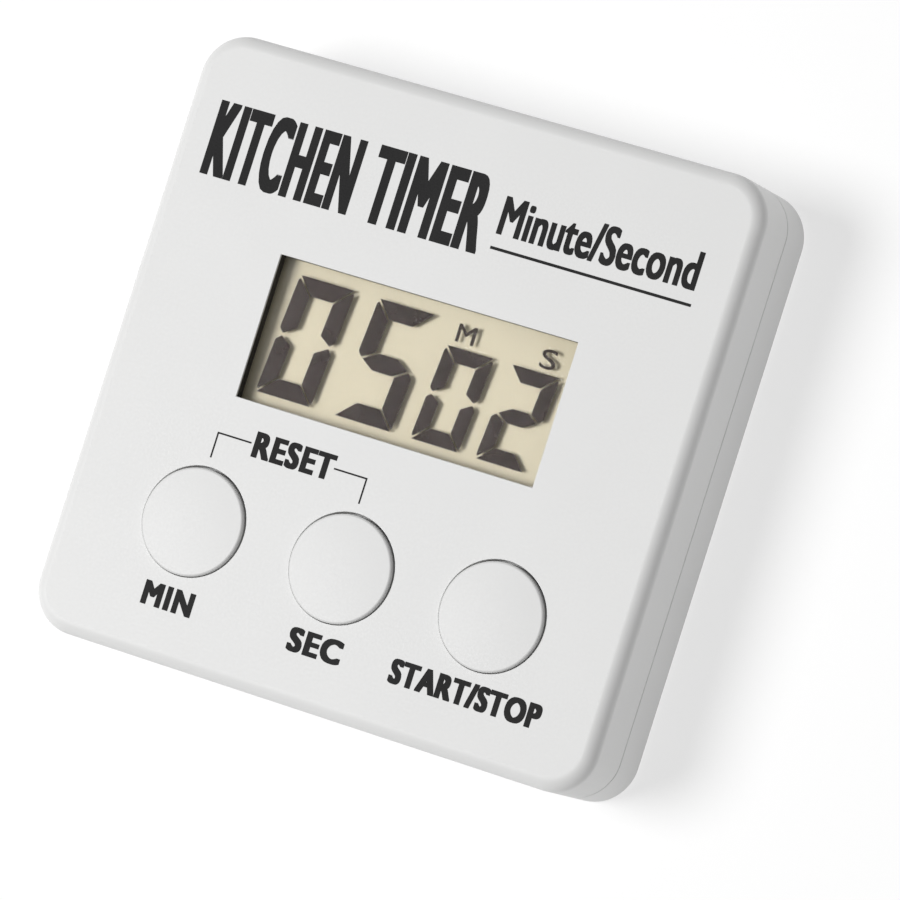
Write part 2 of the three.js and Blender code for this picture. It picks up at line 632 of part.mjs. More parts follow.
function displayFrame() {
	const glassGap = FIT_GAP;
	const margin = FRAME_WALL + FIT_GAP;
	const outside = block(GLASS.left - margin, GLASS.right + margin, GLASS.bottom - margin, GLASS.top + margin,
		BOARD_TOP, FRAME_TOP);
	return cut(
		outside,
		block(GLASS.left - glassGap, GLASS.right + glassGap, GLASS.bottom - glassGap, GLASS.top + glassGap,
			BOARD_TOP - PAST, GLASS_TOP),
		plate(WINDOW.left, WINDOW.right, WINDOW.bottom, WINDOW.top, GLASS_TOP - PAST, FACE_Z, FIT_GAP),
	);
}

// The cell: a front plate with a contact ledge past the bottom edge of the rear plate.
function displayGlass() {
	const rearBottom = GLASS.bottom + STRIP_WIDTH + 2 * FIT_GAP;
	return join(
		block(GLASS.left, GLASS.right, GLASS.bottom, GLASS.top, GLASS_MIDDLE, GLASS_TOP),
		block(GLASS.left, GLASS.right, rearBottom, GLASS.top, GLASS_BOTTOM, GLASS_MIDDLE),
	);
}

function displayReflector() {
	const rearBottom = GLASS.bottom + STRIP_WIDTH + 2 * FIT_GAP;
	return block(GLASS.left, GLASS.right, rearBottom, GLASS.top, GLASS_BOTTOM - REFLECTOR_THICKNESS, GLASS_BOTTOM);
}

function contactStrip() {
	const bottom = GLASS.bottom + FIT_GAP;
	return block(GLASS.left + FIT_GAP, GLASS.right - FIT_GAP, bottom, bottom + STRIP_WIDTH, BOARD_TOP, GLASS_MIDDLE);
}

// ================================================================ buttons

function buttonCap(x) {
	const top = FACE_Z + CAP_PROUD;
	const edgeTop = top - CAP_DOME;
	const flangeBottom = FLANGE_TOP - FLANGE_THICKNESS;
	const domeRadius = (CAP_RADIUS - CAP_EDGE) ** 2 / (2 * CAP_DOME);
	const domeHalf = THREE.MathUtils.radToDeg(Math.asin((CAP_RADIUS - CAP_EDGE) / domeRadius));
	return turned([
		[0, DOME_TOP + SMALL_GAP],
		[PLUNGER_RADIUS, DOME_TOP + SMALL_GAP],
		[PLUNGER_RADIUS, flangeBottom],
		[FLANGE_RADIUS, flangeBottom],
		[FLANGE_RADIUS, FLANGE_TOP],
		[CAP_RADIUS, FLANGE_TOP],
		...arc(CAP_RADIUS - CAP_EDGE, edgeTop - CAP_EDGE, CAP_EDGE, 0, 90, 3),
		...arc(0, top - domeRadius, domeRadius, 90 - domeHalf, 90, 3).slice(1, -1),
		[0, top],
	], x, CAP_Y);
}

function rubberDome(x) {
	const foot = BOARD_TOP + DOME_WALL;
	const top = DOME_TOP;
	return turned([
		[DOME_BASE_RADIUS - DOME_WALL, BOARD_TOP],
		[DOME_FOOT_RADIUS, BOARD_TOP],
		[DOME_FOOT_RADIUS, foot],
		[DOME_BASE_RADIUS, foot],
		[DOME_TOP_RADIUS, top],
		[0, top],
		[0, top - DOME_WALL],
		[DOME_TOP_RADIUS - DOME_WALL, top - DOME_WALL],
		[DOME_BASE_RADIUS - DOME_WALL, BOARD_TOP],
	], x, BUTTON_Y);
}

function contactPill(x) {
	const top = DOME_TOP - DOME_WALL - SMALL_GAP;
	return disc(PILL_RADIUS, top - PILL_THICKNESS, top, x, BUTTON_Y, SMALL_ROUND);
}

// ================================================================ board and what is on it

function circuitBoard() {
	const outside = plate(BOARD.left, BOARD.right, BOARD.bottom, BOARD.top, BOARD_BOTTOM, BOARD_TOP, 1);
	return cut(outside, ...boardScrewPlaces().map(([x, y]) =>
		disc(BOARD_SCREW.shank + PASS_GAP, BOARD_BOTTOM - PAST, BOARD_TOP + PAST, x, y, SMALL_ROUND)));
}

// A screw driven upwards: its head's underside is at seatZ, with a cross recess in the head.
function screw(size, seatZ, x, y) {
	const { head, headHeight, shank, length } = size;
	const body = turned([
		[0, seatZ - headHeight],
		...arc(head - HEAD_EDGE, seatZ - headHeight + HEAD_EDGE, HEAD_EDGE, -90, 0, 3),
		[head, seatZ],
		[shank, seatZ],
		[shank, seatZ + length - 2 * shank],
		[shank / 2, seatZ + length],
		[0, seatZ + length],
	], x, y, SMALL_ROUND);
	const [reach, half, depth] = [head * CROSS_REACH, CROSS_WIDTH / 2, headHeight * CROSS_DEPTH];
	const low = seatZ - headHeight - PAST;
	const bottom = seatZ - headHeight + depth;
	return cut(
		body,
		block(x - reach, x + reach, y - half, y + half, low, bottom),
		block(x - half, x + half, y - reach, y + reach, low, bottom),
	);
}

function chipBlob() {
	const { radius, height, up } = CHIP_BLOB;
	const sphere = (radius ** 2 + height ** 2) / (2 * height);
	const half = THREE.MathUtils.radToDeg(Math.asin(radius / sphere));
	const centre = BOARD_BOTTOM - height + sphere;
	return turned([
		[0, BOARD_BOTTOM - height],
		...arc(0, centre, sphere, -90, -90 + half, 5).slice(1),
		[0, BOARD_BOTTOM],
	], 0, BOARD_MIDDLE_Y + up, 2 * SMALL_ROUND);
}

function quartzCrystal() {
	const { radius, length, up } = CRYSTAL;
	const x = BOARD.right - CRYSTAL.in;
	const z = BOARD_BOTTOM - radius - FIT_GAP;
	return rodX(radius, x - length / 2, x + length / 2, BOARD_MIDDLE_Y + up, z);
}

function boostInductor() {
	const { rim, waist, height, cheek, up } = INDUCTOR;
	const [top, bottom] = [BOARD_BOTTOM, BOARD_BOTTOM - height];
	return turned([
		[0, bottom], [rim, bottom], [rim, bottom + cheek], [waist, bottom + cheek],
		[waist, top - cheek], [rim, top - cheek], [rim, top], [0, top],
	], BOARD.left + INDUCTOR.in, BOARD_MIDDLE_Y + up, 2 * SMALL_ROUND);
}

// A box-shaped part under the board.
function chipPart({ right, up, width, height, depth }) {
	const y = BOARD_MIDDLE_Y + up;
	return block(right - width / 2, right + width / 2, y - height / 2, y + height / 2,
		BOARD_BOTTOM - depth, BOARD_BOTTOM);
}

// ================================================================ leads

// A soldered lead: it leaves its terminal straight, sags a little and rises to the board.
function lead(from, leaving, boardX) {
	const to = new THREE.Vector3(boardX, BOARD.top - BOARD_SCREW_DOWN, BOARD_BOTTOM - TOUCH_GAP);
	const start = new THREE.Vector3(...from);
	const away = start.clone().add(new THREE.Vector3(0, 0, leaving));
	const below = to.clone().add(new THREE.Vector3(0, 0, -1));
	const middle = away.clone().lerp(below, 0.5);
	const route = new THREE.CatmullRomCurve3([start, away, middle, below, to]);
	const section = new THREE.Shape();
	section.absarc(0, 0, LEAD_RADIUS, 0, 2 * Math.PI, false);
	return solid(new THREE.ExtrudeGeometry(section, {
		steps: LEAD_STEPS, extrudePath: route, curveSegments: LEAD_SIDES / 2,
	}));
}

function leads() {
	const plateTop = SOUNDER_Z + SOUNDER_PLATE + TOUCH_GAP;
	const edge = SOUNDER.y - (CERAMIC_RADIUS + SOUNDER_RADIUS) / 2;
	const under = CELL_TOP - CONTACT_THICKNESS - TOUCH_GAP;
	const positiveX = BATTERY.x - WELL_OUTER - LEAD_RADIUS - FIT_GAP;
	const negativeY = BATTERY.y - WELL_OUTER - LEAD_RADIUS - FIT_GAP;
	const [redX, blackX] = [SOUNDER.x + SOUNDER_JOINT_SIDE, SOUNDER.x - SOUNDER_JOINT_SIDE];
	const spread = LEAD_SPREAD;
	return {
		sounder_lead_red: lead([redX, edge, plateTop], LEAD_RISE, redX + spread.sounderRed),
		sounder_lead_black: lead([blackX, edge + CERAMIC_JOINT_IN, plateTop + CERAMIC_THICKNESS], LEAD_RISE,
			blackX + spread.sounderBlack),
		battery_lead_red: lead([positiveX, BATTERY.y, under], -LEAD_DROP, positiveX + spread.batteryRed),
		battery_lead_black: lead([BATTERY.x, negativeY, CELL_TOP + SMALL_GAP], -LEAD_DROP,
			BATTERY.x + spread.batteryBlack),
	};
}

// ================================================================ finishes and the assembly

const FINISH = {
	white_plastic: [0xe9e9e7, 0.55, 0],
	button_plastic: [0xebebea, 0.5, 0],
	black_plastic: [0x161616, 0.6, 0],
	display_glass: [0xcfd6c8, 0.08, 0],
	reflector: [0xe2d8b6, 0.45, 0.2],
	grey_rubber: [0x8c8c8a, 0.85, 0],
	black_rubber: [0x1d1d1d, 0.85, 0],
	carbon: [0x202020, 0.7, 0],
	board: [0x2f6b3c, 0.5, 0],
	epoxy: [0x121212, 0.35, 0],
	steel: [0xb8bbbe, 0.35, 1],
	nickel: [0xc9c8c2, 0.25, 1],
	brass: [0xc9a24c, 0.3, 1],
	ceramic: [0xe6e0d2, 0.5, 0],
	copper: [0xb06a3a, 0.4, 1],
	ferrite: [0x3a3a3c, 0.6, 0.2],
	red_lead: [0xb3221c, 0.5, 0],
	black_lead: [0x1a1a1a, 0.5, 0],
};

const timer = new THREE.Group();

function piece(name, body, finish) {
	const [color, roughness, metalness] = FINISH[finish];
	const mesh = new THREE.Mesh(geometryOf(body), new THREE.MeshStandardMaterial({ color, roughness, metalness }));
	mesh.name = name;
	timer.add(mesh);
}

piece('front_case', frontCase(), 'white_plastic');
piece('rear_case', rearCase(), 'white_plastic');

piece('display_frame', displayFrame(), 'black_plastic');
piece('display_glass', displayGlass(), 'display_glass');
piece('display_reflector', displayReflector(), 'reflector');
piece('contact_strip', contactStrip(), 'grey_rubber');

for (const [name, x] of Object.entries(buttonPlaces())) {
	piece(`${name}_button`, buttonCap(x), 'button_plastic');
	piece(`${name}_dome`, rubberDome(x), 'black_rubber');
	piece(`${name}_contact_pill`, contactPill(x), 'carbon');
}

piece('circuit_board', circuitBoard(), 'board');
boardScrewPlaces().forEach(([x, y], i) =>
	piece(`board_screw_${i + 1}`, screw(BOARD_SCREW, BOARD_BOTTOM, x, y), 'steel'));
corners(CASE_SCREW_INSET).forEach(([x, y], i) =>
	piece(`case_screw_${i + 1}`, screw(CASE_SCREW, SCREW_SUNK + CASE_SCREW.headHeight, x, y), 'steel'));

piece('chip_blob', chipBlob(), 'epoxy');
piece('quartz_crystal', quartzCrystal(), 'nickel');
piece('boost_inductor', boostInductor(), 'copper');
for (const [name, part] of Object.entries(CHIP_PARTS)) {
	piece(name, chipPart(part), part.finish);
}

piece('sounder_plate', sounderPlate(), 'brass');
piece('sounder_ceramic', sounderCeramic(), 'ceramic');
piece('button_cell', buttonCell(), 'nickel');
piece('positive_contact', positiveContact(), 'nickel');
piece('negative_contact', negativeContact(), 'nickel');
for (const [name, body] of Object.entries(leads())) {
	piece(name, body, name.endsWith('red') ? 'red_lead' : 'black_lead');
}

piece('battery_cover', batteryCover(), 'white_plastic');
piece('stand_leg', standLeg(), 'white_plastic');
piece('magnet_bar', magnetBar(), 'ferrite');

export default timer;
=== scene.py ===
"""Looks of a pocket kitchen timer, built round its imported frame.

The timer lies on its back: X runs across the face, Y up the face and Z out of it. Pieces are
modelled in millimetres at their real place, and brought to metres when they are handed over.
"""
import json
import logging
import math
from contextlib import contextmanager
from dataclasses import dataclass, field
from enum import Enum
from typing import Callable, Iterator, Sequence

import bmesh
import bpy
from mathutils import Matrix, Vector


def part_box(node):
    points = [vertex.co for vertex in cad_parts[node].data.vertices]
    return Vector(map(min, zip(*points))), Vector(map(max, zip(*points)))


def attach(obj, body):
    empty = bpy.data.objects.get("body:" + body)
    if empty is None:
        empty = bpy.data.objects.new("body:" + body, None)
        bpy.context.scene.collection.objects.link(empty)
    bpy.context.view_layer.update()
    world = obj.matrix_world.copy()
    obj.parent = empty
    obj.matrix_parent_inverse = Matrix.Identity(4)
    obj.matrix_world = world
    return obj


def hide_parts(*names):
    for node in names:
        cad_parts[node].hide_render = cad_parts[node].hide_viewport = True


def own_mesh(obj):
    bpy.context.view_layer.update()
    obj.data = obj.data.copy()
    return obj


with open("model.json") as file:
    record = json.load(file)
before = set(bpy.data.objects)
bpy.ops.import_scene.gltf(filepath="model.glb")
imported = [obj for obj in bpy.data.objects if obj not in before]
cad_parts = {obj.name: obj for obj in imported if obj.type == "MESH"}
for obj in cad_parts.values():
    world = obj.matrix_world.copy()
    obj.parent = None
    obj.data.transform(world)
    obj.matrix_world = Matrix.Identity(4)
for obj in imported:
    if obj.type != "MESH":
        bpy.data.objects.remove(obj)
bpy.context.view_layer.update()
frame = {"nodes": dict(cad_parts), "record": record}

log = logging.getLogger("timer")

MM = 0.001
NEAR = 1e-3
NOISE_LOW, NOISE_HIGH = 0.3, 0.7      # where most of a noise's values lie

Point = tuple[float, float, float]
Colour = tuple[float, float, float]
EdgeTest = Callable[[Vector, Vector], bool]
FaceTest = Callable[[Vector, Vector], bool]


# ---------------------------------------------------------------------------------------------
# Measures taken from the frame
# ---------------------------------------------------------------------------------------------

@dataclass(frozen=True)
class Extent:
    """The box of a CAD node, in millimetres."""

    low: Vector
    high: Vector

    @classmethod
    def of(cls, node: str) -> "Extent":
        """Reads a node's box from the frame.

        Args:
            node: The CAD node's name.

        Returns:
            The node's box in millimetres.
        """
        low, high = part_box(node)
        return cls(low / MM, high / MM)

    @property
    def centre(self) -> Vector:
        """The middle of the box."""
        return (self.low + self.high) / 2

    @property
    def size(self) -> Vector:
        """The box's lengths along X, Y and Z."""
        return self.high - self.low


class Button(Enum):
    """The three push buttons, by the first word of their nodes' names."""

    MIN = "min"
    SEC = "sec"
    START_STOP = "start_stop"

    @property
    def node(self) -> str:
        """The name of the button's CAD node."""
        return f"{self.value}_button"

    @property
    def dome(self) -> str:
        """The name of the CAD node of the rubber dome under it."""
        return f"{self.value}_dome"

    @property
    def joint(self) -> str:
        """The name of the joint that it travels on."""
        return f"{self.value}_press"


# ---------------------------------------------------------------------------------------------
# Modelling steps
# ---------------------------------------------------------------------------------------------

def make_active(piece: bpy.types.Object) -> None:
    """Selects one object alone and makes it the active one.

    Args:
        piece: The object to work on.
    """
    bpy.ops.object.select_all(action="DESELECT")
    piece.select_set(True)
    bpy.context.view_layer.objects.active = piece


@contextmanager
def editing(piece: bpy.types.Object) -> Iterator[None]:
    """Opens a piece in edit mode with nothing selected, and closes it again.

    Args:
        piece: The mesh object to edit.
    """
    make_active(piece)
    bpy.ops.object.mode_set(mode="EDIT")
    bpy.ops.mesh.select_mode(type="FACE")
    bpy.ops.mesh.select_all(action="DESELECT")
    yield
    bpy.ops.object.mode_set(mode="OBJECT")


def named(name: str) -> bpy.types.Object:
    """Names the object that an operator just made and puts its place into its mesh.

    Args:
        name: The name to give.

    Returns:
        The object, at the origin, unturned and unscaled.
    """
    piece = bpy.context.object
    piece.name = name
    piece.data.name = name
    bpy.ops.object.transform_apply(location=True, rotation=True, scale=True)
    return piece


def add_block(name: str, low: Sequence[float], high: Sequence[float]) -> bpy.types.Object:
    """Adds a box between two corners.

    Args:
        name: The object's name.
        low: The lowest corner.
        high: The highest corner.

    Returns:
        The new object.
    """
    bpy.ops.object.select_all(action="DESELECT")
    low, high = Vector(low), Vector(high)
    bpy.ops.mesh.primitive_cube_add(size=1, location=(low + high) / 2, scale=high - low)
    return named(name)


def add_disc(name: str, radius: float, z0: float, z1: float, x: float = 0, y: float = 0,
             sides: int = 96) -> bpy.types.Object:
    """Adds an upright cylinder between two heights.

    Args:
        name: The object's name.
        radius: Its radius.
        z0: Its bottom.
        z1: Its top.
        x: Its axis along X.
        y: Its axis along Y.
        sides: How many sides it has.

    Returns:
        The new object.
    """
    bpy.ops.object.select_all(action="DESELECT")
    bpy.ops.mesh.primitive_cylinder_add(
        vertices=sides, radius=radius, depth=z1 - z0, location=(x, y, (z0 + z1) / 2))
    return named(name)


def add_rod(name: str, radius: float, x0: float, x1: float, y: float, z: float,
            sides: int = 48) -> bpy.types.Object:
    """Adds a cylinder that lies along X.

    Args:
        name: The object's name.
        radius: Its radius.
        x0: Its left end.
        x1: Its right end.
        y: Its axis along Y.
        z: Its axis along Z.
        sides: How many sides it has.

    Returns:
        The new object.
    """
    bpy.ops.object.select_all(action="DESELECT")
    bpy.ops.mesh.primitive_cylinder_add(
        vertices=sides, radius=radius, depth=x1 - x0, location=((x0 + x1) / 2, y, z),
        rotation=(0, math.pi / 2, 0))
    return named(name)


def pick_edges(piece: bpy.types.Object, test: EdgeTest) -> None:
    """Selects the edges whose two ends pass a test. The piece is in edit mode.

    Args:
        piece: The piece being edited.
        test: Takes an edge's two ends and says whether to select it.
    """
    bpy.ops.mesh.select_mode(type="EDGE")
    bpy.ops.mesh.select_all(action="DESELECT")
    mesh = bmesh.from_edit_mesh(piece.data)
    for edge in mesh.edges:
        edge.select_set(test(edge.verts[0].co, edge.verts[1].co))
    bmesh.update_edit_mesh(piece.data)


def pick_faces(piece: bpy.types.Object, test: FaceTest) -> None:
    """Selects the faces that pass a test. The piece is in edit mode.

    Args:
        piece: The piece being edited.
        test: Takes a face's middle and its normal and says whether to select it.
    """
    bpy.ops.mesh.select_mode(type="FACE")
    bpy.ops.mesh.select_all(action="DESELECT")
    mesh = bmesh.from_edit_mesh(piece.data)
    mesh.normal_update()
    for face in mesh.faces:
        face.select_set(test(face.calc_center_median(), face.normal))
    bmesh.update_edit_mesh(piece.data)


def facing_up(height: float) -> FaceTest:
    """A test for the faces that look up at a height."""
    return lambda middle, normal: normal.z > 0.99 and abs(middle.z - height) < NEAR


def facing_down(height: float) -> FaceTest:
    """A test for the faces that look down at a height."""
    return lambda middle, normal: normal.z < -0.99 and abs(middle.z - height) < NEAR


def upright(a: Vector, b: Vector) -> bool:
    """Whether an edge stands along Z."""
    return (a - b).xy.length < NEAR and abs(a.z - b.z) > NEAR


def at_height(height: float) -> EdgeTest:
    """A test for the edges that lie at a height."""
    return lambda a, b: abs(a.z - height) < NEAR and abs(b.z - height) < NEAR


def round_edges(piece: bpy.types.Object, test: EdgeTest, radius: float, segments: int) -> None:
    """Rounds chosen edges with an arc.

    Args:
        piece: The piece to shape.
        test: Says which edges to round.
        radius: The arc's radius.
        segments: How many faces make the arc.
    """
    with editing(piece):
        pick_edges(piece, test)
        bpy.ops.mesh.bevel(offset=radius, offset_type="OFFSET", segments=segments, profile=0.5,
                           affect="EDGES", clamp_overlap=False)


def step_face(piece: bpy.types.Object, test: FaceTest, inset: float, rise: float) -> None:
    """Insets a flat face and moves the inner part along Z, which makes a step, a well or a boss.

    Args:
        piece: The piece to shape.
        test: Says which face to take.
        inset: How far in from the face's rim.
        rise: How far to extrude the inner face, up or down.
    """
    with editing(piece):
        pick_faces(piece, test)
        bpy.ops.mesh.inset(thickness=inset, depth=0)
        bpy.ops.mesh.extrude_region_move(TRANSFORM_OT_translate={"value": (0, 0, rise)})


def gather(name: str, pieces: Sequence[bpy.types.Object]) -> bpy.types.Object:
    """Joins separate solids into one object.

    Args:
        name: The joined object's name.
        pieces: The objects to join.

    Returns:
        The joined object.
    """
    bpy.ops.object.select_all(action="DESELECT")
    for piece in pieces:
        piece.select_set(True)
    bpy.context.view_layer.objects.active = pieces[0]
    bpy.ops.object.join()
    joined = bpy.context.object
    joined.name = name
    joined.data.name = name
    return joined


def apply_modifier(piece: bpy.types.Object, kind: str, **settings: object) -> None:
    """Adds a modifier with its settings and applies it.

    Args:
        piece: The piece to change.
        kind: The modifier's type.
        **settings: Its properties.
    """
    make_active(piece)
    modifier = piece.modifiers.new(kind.title(), kind)
    for key, value in settings.items():
        setattr(modifier, key, value)
    bpy.ops.object.modifier_apply(modifier=modifier.name)


def combine(piece: bpy.types.Object, tools: Sequence[bpy.types.Object], operation: str) -> None:
    """Joins solids to a piece or cuts them out of it, and removes them.

    Args:
        piece: The piece to shape.
        tools: Solids that don't meet each other.
        operation: UNION or DIFFERENCE.
    """
    tool = gather(f"{piece.name}_tool", tools)
    apply_modifier(piece, "BOOLEAN", operation=operation, object=tool, solver="EXACT")
    bpy.data.objects.remove(tool)


def soften(piece: bpy.types.Object, width: float, segments: int = 2, angle: float = 40) -> None:
    """Breaks every sharp edge of a piece with a small rounding.

    Args:
        piece: The piece to shape.
        width: The rounding's width.
        segments: How many faces make it.
        angle: Edges sharper than this, in degrees, are rounded.
    """
    apply_modifier(piece, "BEVEL", width=width, segments=segments, limit_method="ANGLE",
                   angle_limit=math.radians(angle), use_clamp_overlap=True)


def smooth(piece: bpy.types.Object, angle: float = 35) -> None:
    """Shades a piece smooth up to an angle, with its flat faces kept flat.

    Args:
        piece: The piece to shade.
        angle: The largest angle, in degrees, that is shaded smooth.
    """
    make_active(piece)
    bpy.ops.object.shade_smooth_by_angle(angle=math.radians(angle))
    apply_modifier(piece, "WEIGHTED_NORMAL", mode="FACE_AREA", weight=90, keep_sharp=True)


def hand_over(piece: bpy.types.Object, body: str, slot: str, finish: bpy.types.Material,
              *nodes: str) -> bpy.types.Object:
    """Brings a finished piece to metres, dresses it and puts it on its body.

    Args:
        piece: The finished piece, modelled in millimetres.
        body: The CAD body that it moves with.
        slot: The record's material slot that it belongs to; not used.
        finish: Its material.
        *nodes: The CAD nodes that it stands for.

    Returns:
        The piece.
    """
    make_active(piece)
    piece.data.transform(Matrix.Scale(MM, 4))
    piece.data.materials.clear()
    piece.data.materials.append(finish)
    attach(piece, body)
    if nodes:
        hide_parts(*nodes)
    log.info("%s: %d faces, on %s", piece.name, len(piece.data.polygons), body)
    return piece


# ---------------------------------------------------------------------------------------------
# Finishes
# ---------------------------------------------------------------------------------------------

class Nodes:
    """A material's node tree, with short calls to fill it."""

    def __init__(self, name: str) -> None:
        """Starts a material with one Principled shader.

        Args:
            name: The material's name.
        """
        self.material = bpy.data.materials.new(name)
        self.material.use_nodes = True
        self.tree = self.material.node_tree
        self.shader = self.tree.nodes["Principled BSDF"]

    def add(self, kind: str, links: dict[str | int, bpy.types.NodeSocket] | None = None,
            values: dict[str | int, object] | None = None, **settings: object) -> bpy.types.Node:
        """Adds a node.

        Args:
            kind: The node's type.
            links: Input name or number to the socket that feeds it.
            values: Input name or number to its value.
            **settings: The node's own properties.

        Returns:
            The node.
        """
        node = self.tree.nodes.new(kind)
        for key, value in settings.items():
            setattr(node, key, value)
        for key, value in (values or {}).items():
            node.inputs[key].default_value = value
        for key, socket in (links or {}).items():
            self.tree.links.new(socket, node.inputs[key])
        return node

    def feed(self, key: str, socket: bpy.types.NodeSocket) -> None:
        """Links a socket to one of the shader's inputs."""
        self.tree.links.new(socket, self.shader.inputs[key])

    def set(self, **values: object) -> None:
        """Sets numbers and colours on the shader's own sockets; _ stands for a space."""
        for key, value in values.items():
            self.shader.inputs[key.replace("_", " ")].default_value = value

    def place(self, stretch: Point = (1, 1, 1)) -> bpy.types.NodeSocket:
        """Object coordinates in millimetres.

        Args:
            stretch: How much finer the pattern is along each axis.

        Returns:
            The coordinates' socket.
        """
        coordinates = self.add("ShaderNodeTexCoord")
        scale = tuple(s / MM for s in stretch)
        mapping = self.add("ShaderNodeMapping", {"Vector": coordinates.outputs["Object"]}, {"Scale": scale})
        return mapping.outputs["Vector"]

    def noise(self, place: bpy.types.NodeSocket, size: float, detail: float = 2) -> bpy.types.NodeSocket:
        """Soft noise whose blobs are about a size across.

        Args:
            place: The coordinates, in millimetres.
            size: The blobs' size in millimetres.
            detail: How much finer noise is laid over it.

        Returns:
            The noise's value, round 0.5.
        """
        node = self.add("ShaderNodeTexNoise", {"Vector": place}, {"Scale": 1 / size, "Detail": detail})
        return node.outputs["Fac"]

    def ramp(self, value: bpy.types.NodeSocket,
             stops: Sequence[tuple[float, Colour]]) -> bpy.types.NodeSocket:
        """Turns a value into a colour.

        Args:
            value: The value, from 0 to 1.
            stops: Where along the value each colour stands.

        Returns:
            The colour's socket.
        """
        node = self.add("ShaderNodeValToRGB", {"Fac": value})
        elements = node.color_ramp.elements
        while len(elements) < len(stops):
            elements.new(0.5)
        for element, (position, colour) in zip(elements, stops):
            element.position = position
            element.color = (*colour, 1)
        return node.outputs["Color"]

    def span(self, noise: bpy.types.NodeSocket, low: float, high: float) -> bpy.types.NodeSocket:
        """Spreads a noise's values over low..high."""
        node = self.add("ShaderNodeMapRange", {"Value": noise}, {
            "From Min": NOISE_LOW, "From Max": NOISE_HIGH, "To Min": low, "To Max": high})
        return node.outputs["Result"]

    def tones(self, noise: bpy.types.NodeSocket, colour: Colour, darker: float,
              lighter: float) -> bpy.types.NodeSocket:
        """Turns a noise into a colour that wanders between two tones.

        Args:
            noise: The noise.
            colour: The colour in the middle.
            darker: The darker tone, as a share of the colour.
            lighter: The lighter tone, as a share of the colour.

        Returns:
            The colour's socket.
        """
        return self.ramp(noise, [(NOISE_LOW, shade(colour, darker)), (NOISE_HIGH, shade(colour, lighter))])

    def bump(self, height: bpy.types.NodeSocket, depth: float) -> None:
        """Raises the surface by a height pattern, as deep as depth in millimetres."""
        node = self.add("ShaderNodeBump", {"Height": height}, {"Distance": depth * MM, "Strength": 1})
        self.feed("Normal", node.outputs["Normal"])


def shade(colour: Colour, share: float) -> Colour:
    """A colour made lighter or darker by a share of itself."""
    return tuple(min(1, c * share) for c in colour)


@dataclass(frozen=True)
class Finish:
    """A surface with fine grain, slow colour drift and uneven gloss."""

    name: str
    colour: Colour
    roughness: float
    metallic: float = 0
    grain: float = 0.2
    depth: float = 0.002
    drift: float = 0.03
    uneven: float = 0.05
    stretch: Point = (1, 1, 1)
    specular: float = 0.5
    coat: float = 0
    alpha: float = 1

    def build(self) -> bpy.types.Material:
        """Makes the material.

        Returns:
            The material.
        """
        nodes = Nodes(self.name)
        nodes.set(Metallic=self.metallic, Specular_IOR_Level=self.specular,
                  Coat_Weight=self.coat, Coat_Roughness=0.15, Alpha=self.alpha)
        place = nodes.place(self.stretch)
        fine = nodes.noise(place, self.grain, detail=3)
        slow = nodes.noise(nodes.place(), 9)
        nodes.feed("Base Color", nodes.tones(slow, self.colour, 1 - self.drift, 1 + self.drift))
        nodes.feed("Roughness", nodes.span(fine, self.roughness - self.uneven, self.roughness + self.uneven))
        nodes.bump(fine, self.depth)
        return nodes.material


@dataclass(frozen=True)
class ClearGlass:
    """Thin display glass: almost clear, with a sharp reflection."""

    name: str = "display_glass"
    tint: Colour = (0.2, 0.2, 0.18)
    alpha: float = 0.05

    def build(self) -> bpy.types.Material:
        """Makes the material.

        Returns:
            The material.
        """
        nodes = Nodes(self.name)
        nodes.set(Alpha=self.alpha, Roughness=0.03, IOR=1.5)
        smear = nodes.noise(nodes.place(), 6)
        nodes.feed("Base Color", nodes.tones(smear, self.tint, 0.9, 1.1))
        return nodes.material


@dataclass(frozen=True)
class DisplayReflector:
    """The cream sheet behind the display, with a fine metallic grain."""

    name: str = "display_reflector"
    colour: Colour = (0.87, 0.785, 0.57)
    grain: float = 0.12
    cloud: float = 7
    grain_share: float = 0.35

    def build(self) -> bpy.types.Material:
        """Makes the material.

        Returns:
            The material.
        """
        nodes = Nodes(self.name)
        nodes.set(Roughness=0.6, Specular_IOR_Level=0.3)
        place = nodes.place()
        grain = nodes.noise(place, self.grain, detail=4)
        cloud = nodes.noise(place, self.cloud)
        fine = nodes.add("ShaderNodeMath", {0: grain}, {1: self.grain_share}, operation="MULTIPLY")
        mixed = nodes.add("ShaderNodeMath", {0: cloud, 2: fine.outputs[0]}, {1: 1 - self.grain_share},
                          operation="MULTIPLY_ADD")
        nodes.feed("Base Color", nodes.tones(mixed.outputs[0], self.colour, 0.96, 1.03))
        nodes.bump(grain, 0.003)
        return nodes.material


@dataclass(frozen=True)
class CircuitBoardFinish:
    """Green solder mask with paler tracks under it."""

    name: str = "board"
    mask: Colour = (0.02, 0.13, 0.05)
    track: Colour = (0.05, 0.24, 0.09)

    def build(self) -> bpy.types.Material:
        """Makes the material.

        Returns:
            The material.
        """
        nodes = Nodes(self.name)
        nodes.set(Roughness=0.35, Coat_Weight=0.3)
        place = nodes.place()
        tracks = nodes.add("ShaderNodeTexBrick", {"Vector": place}, {
            "Scale": 0.3, "Mortar Size": 0.035, "Color1": (*self.mask, 1),
            "Color2": (*shade(self.mask, 1.15), 1), "Mortar": (*self.track, 1)})
        nodes.feed("Base Color", tracks.outputs["Color"])
        nodes.bump(tracks.outputs["Fac"], 0.02)
        return nodes.material


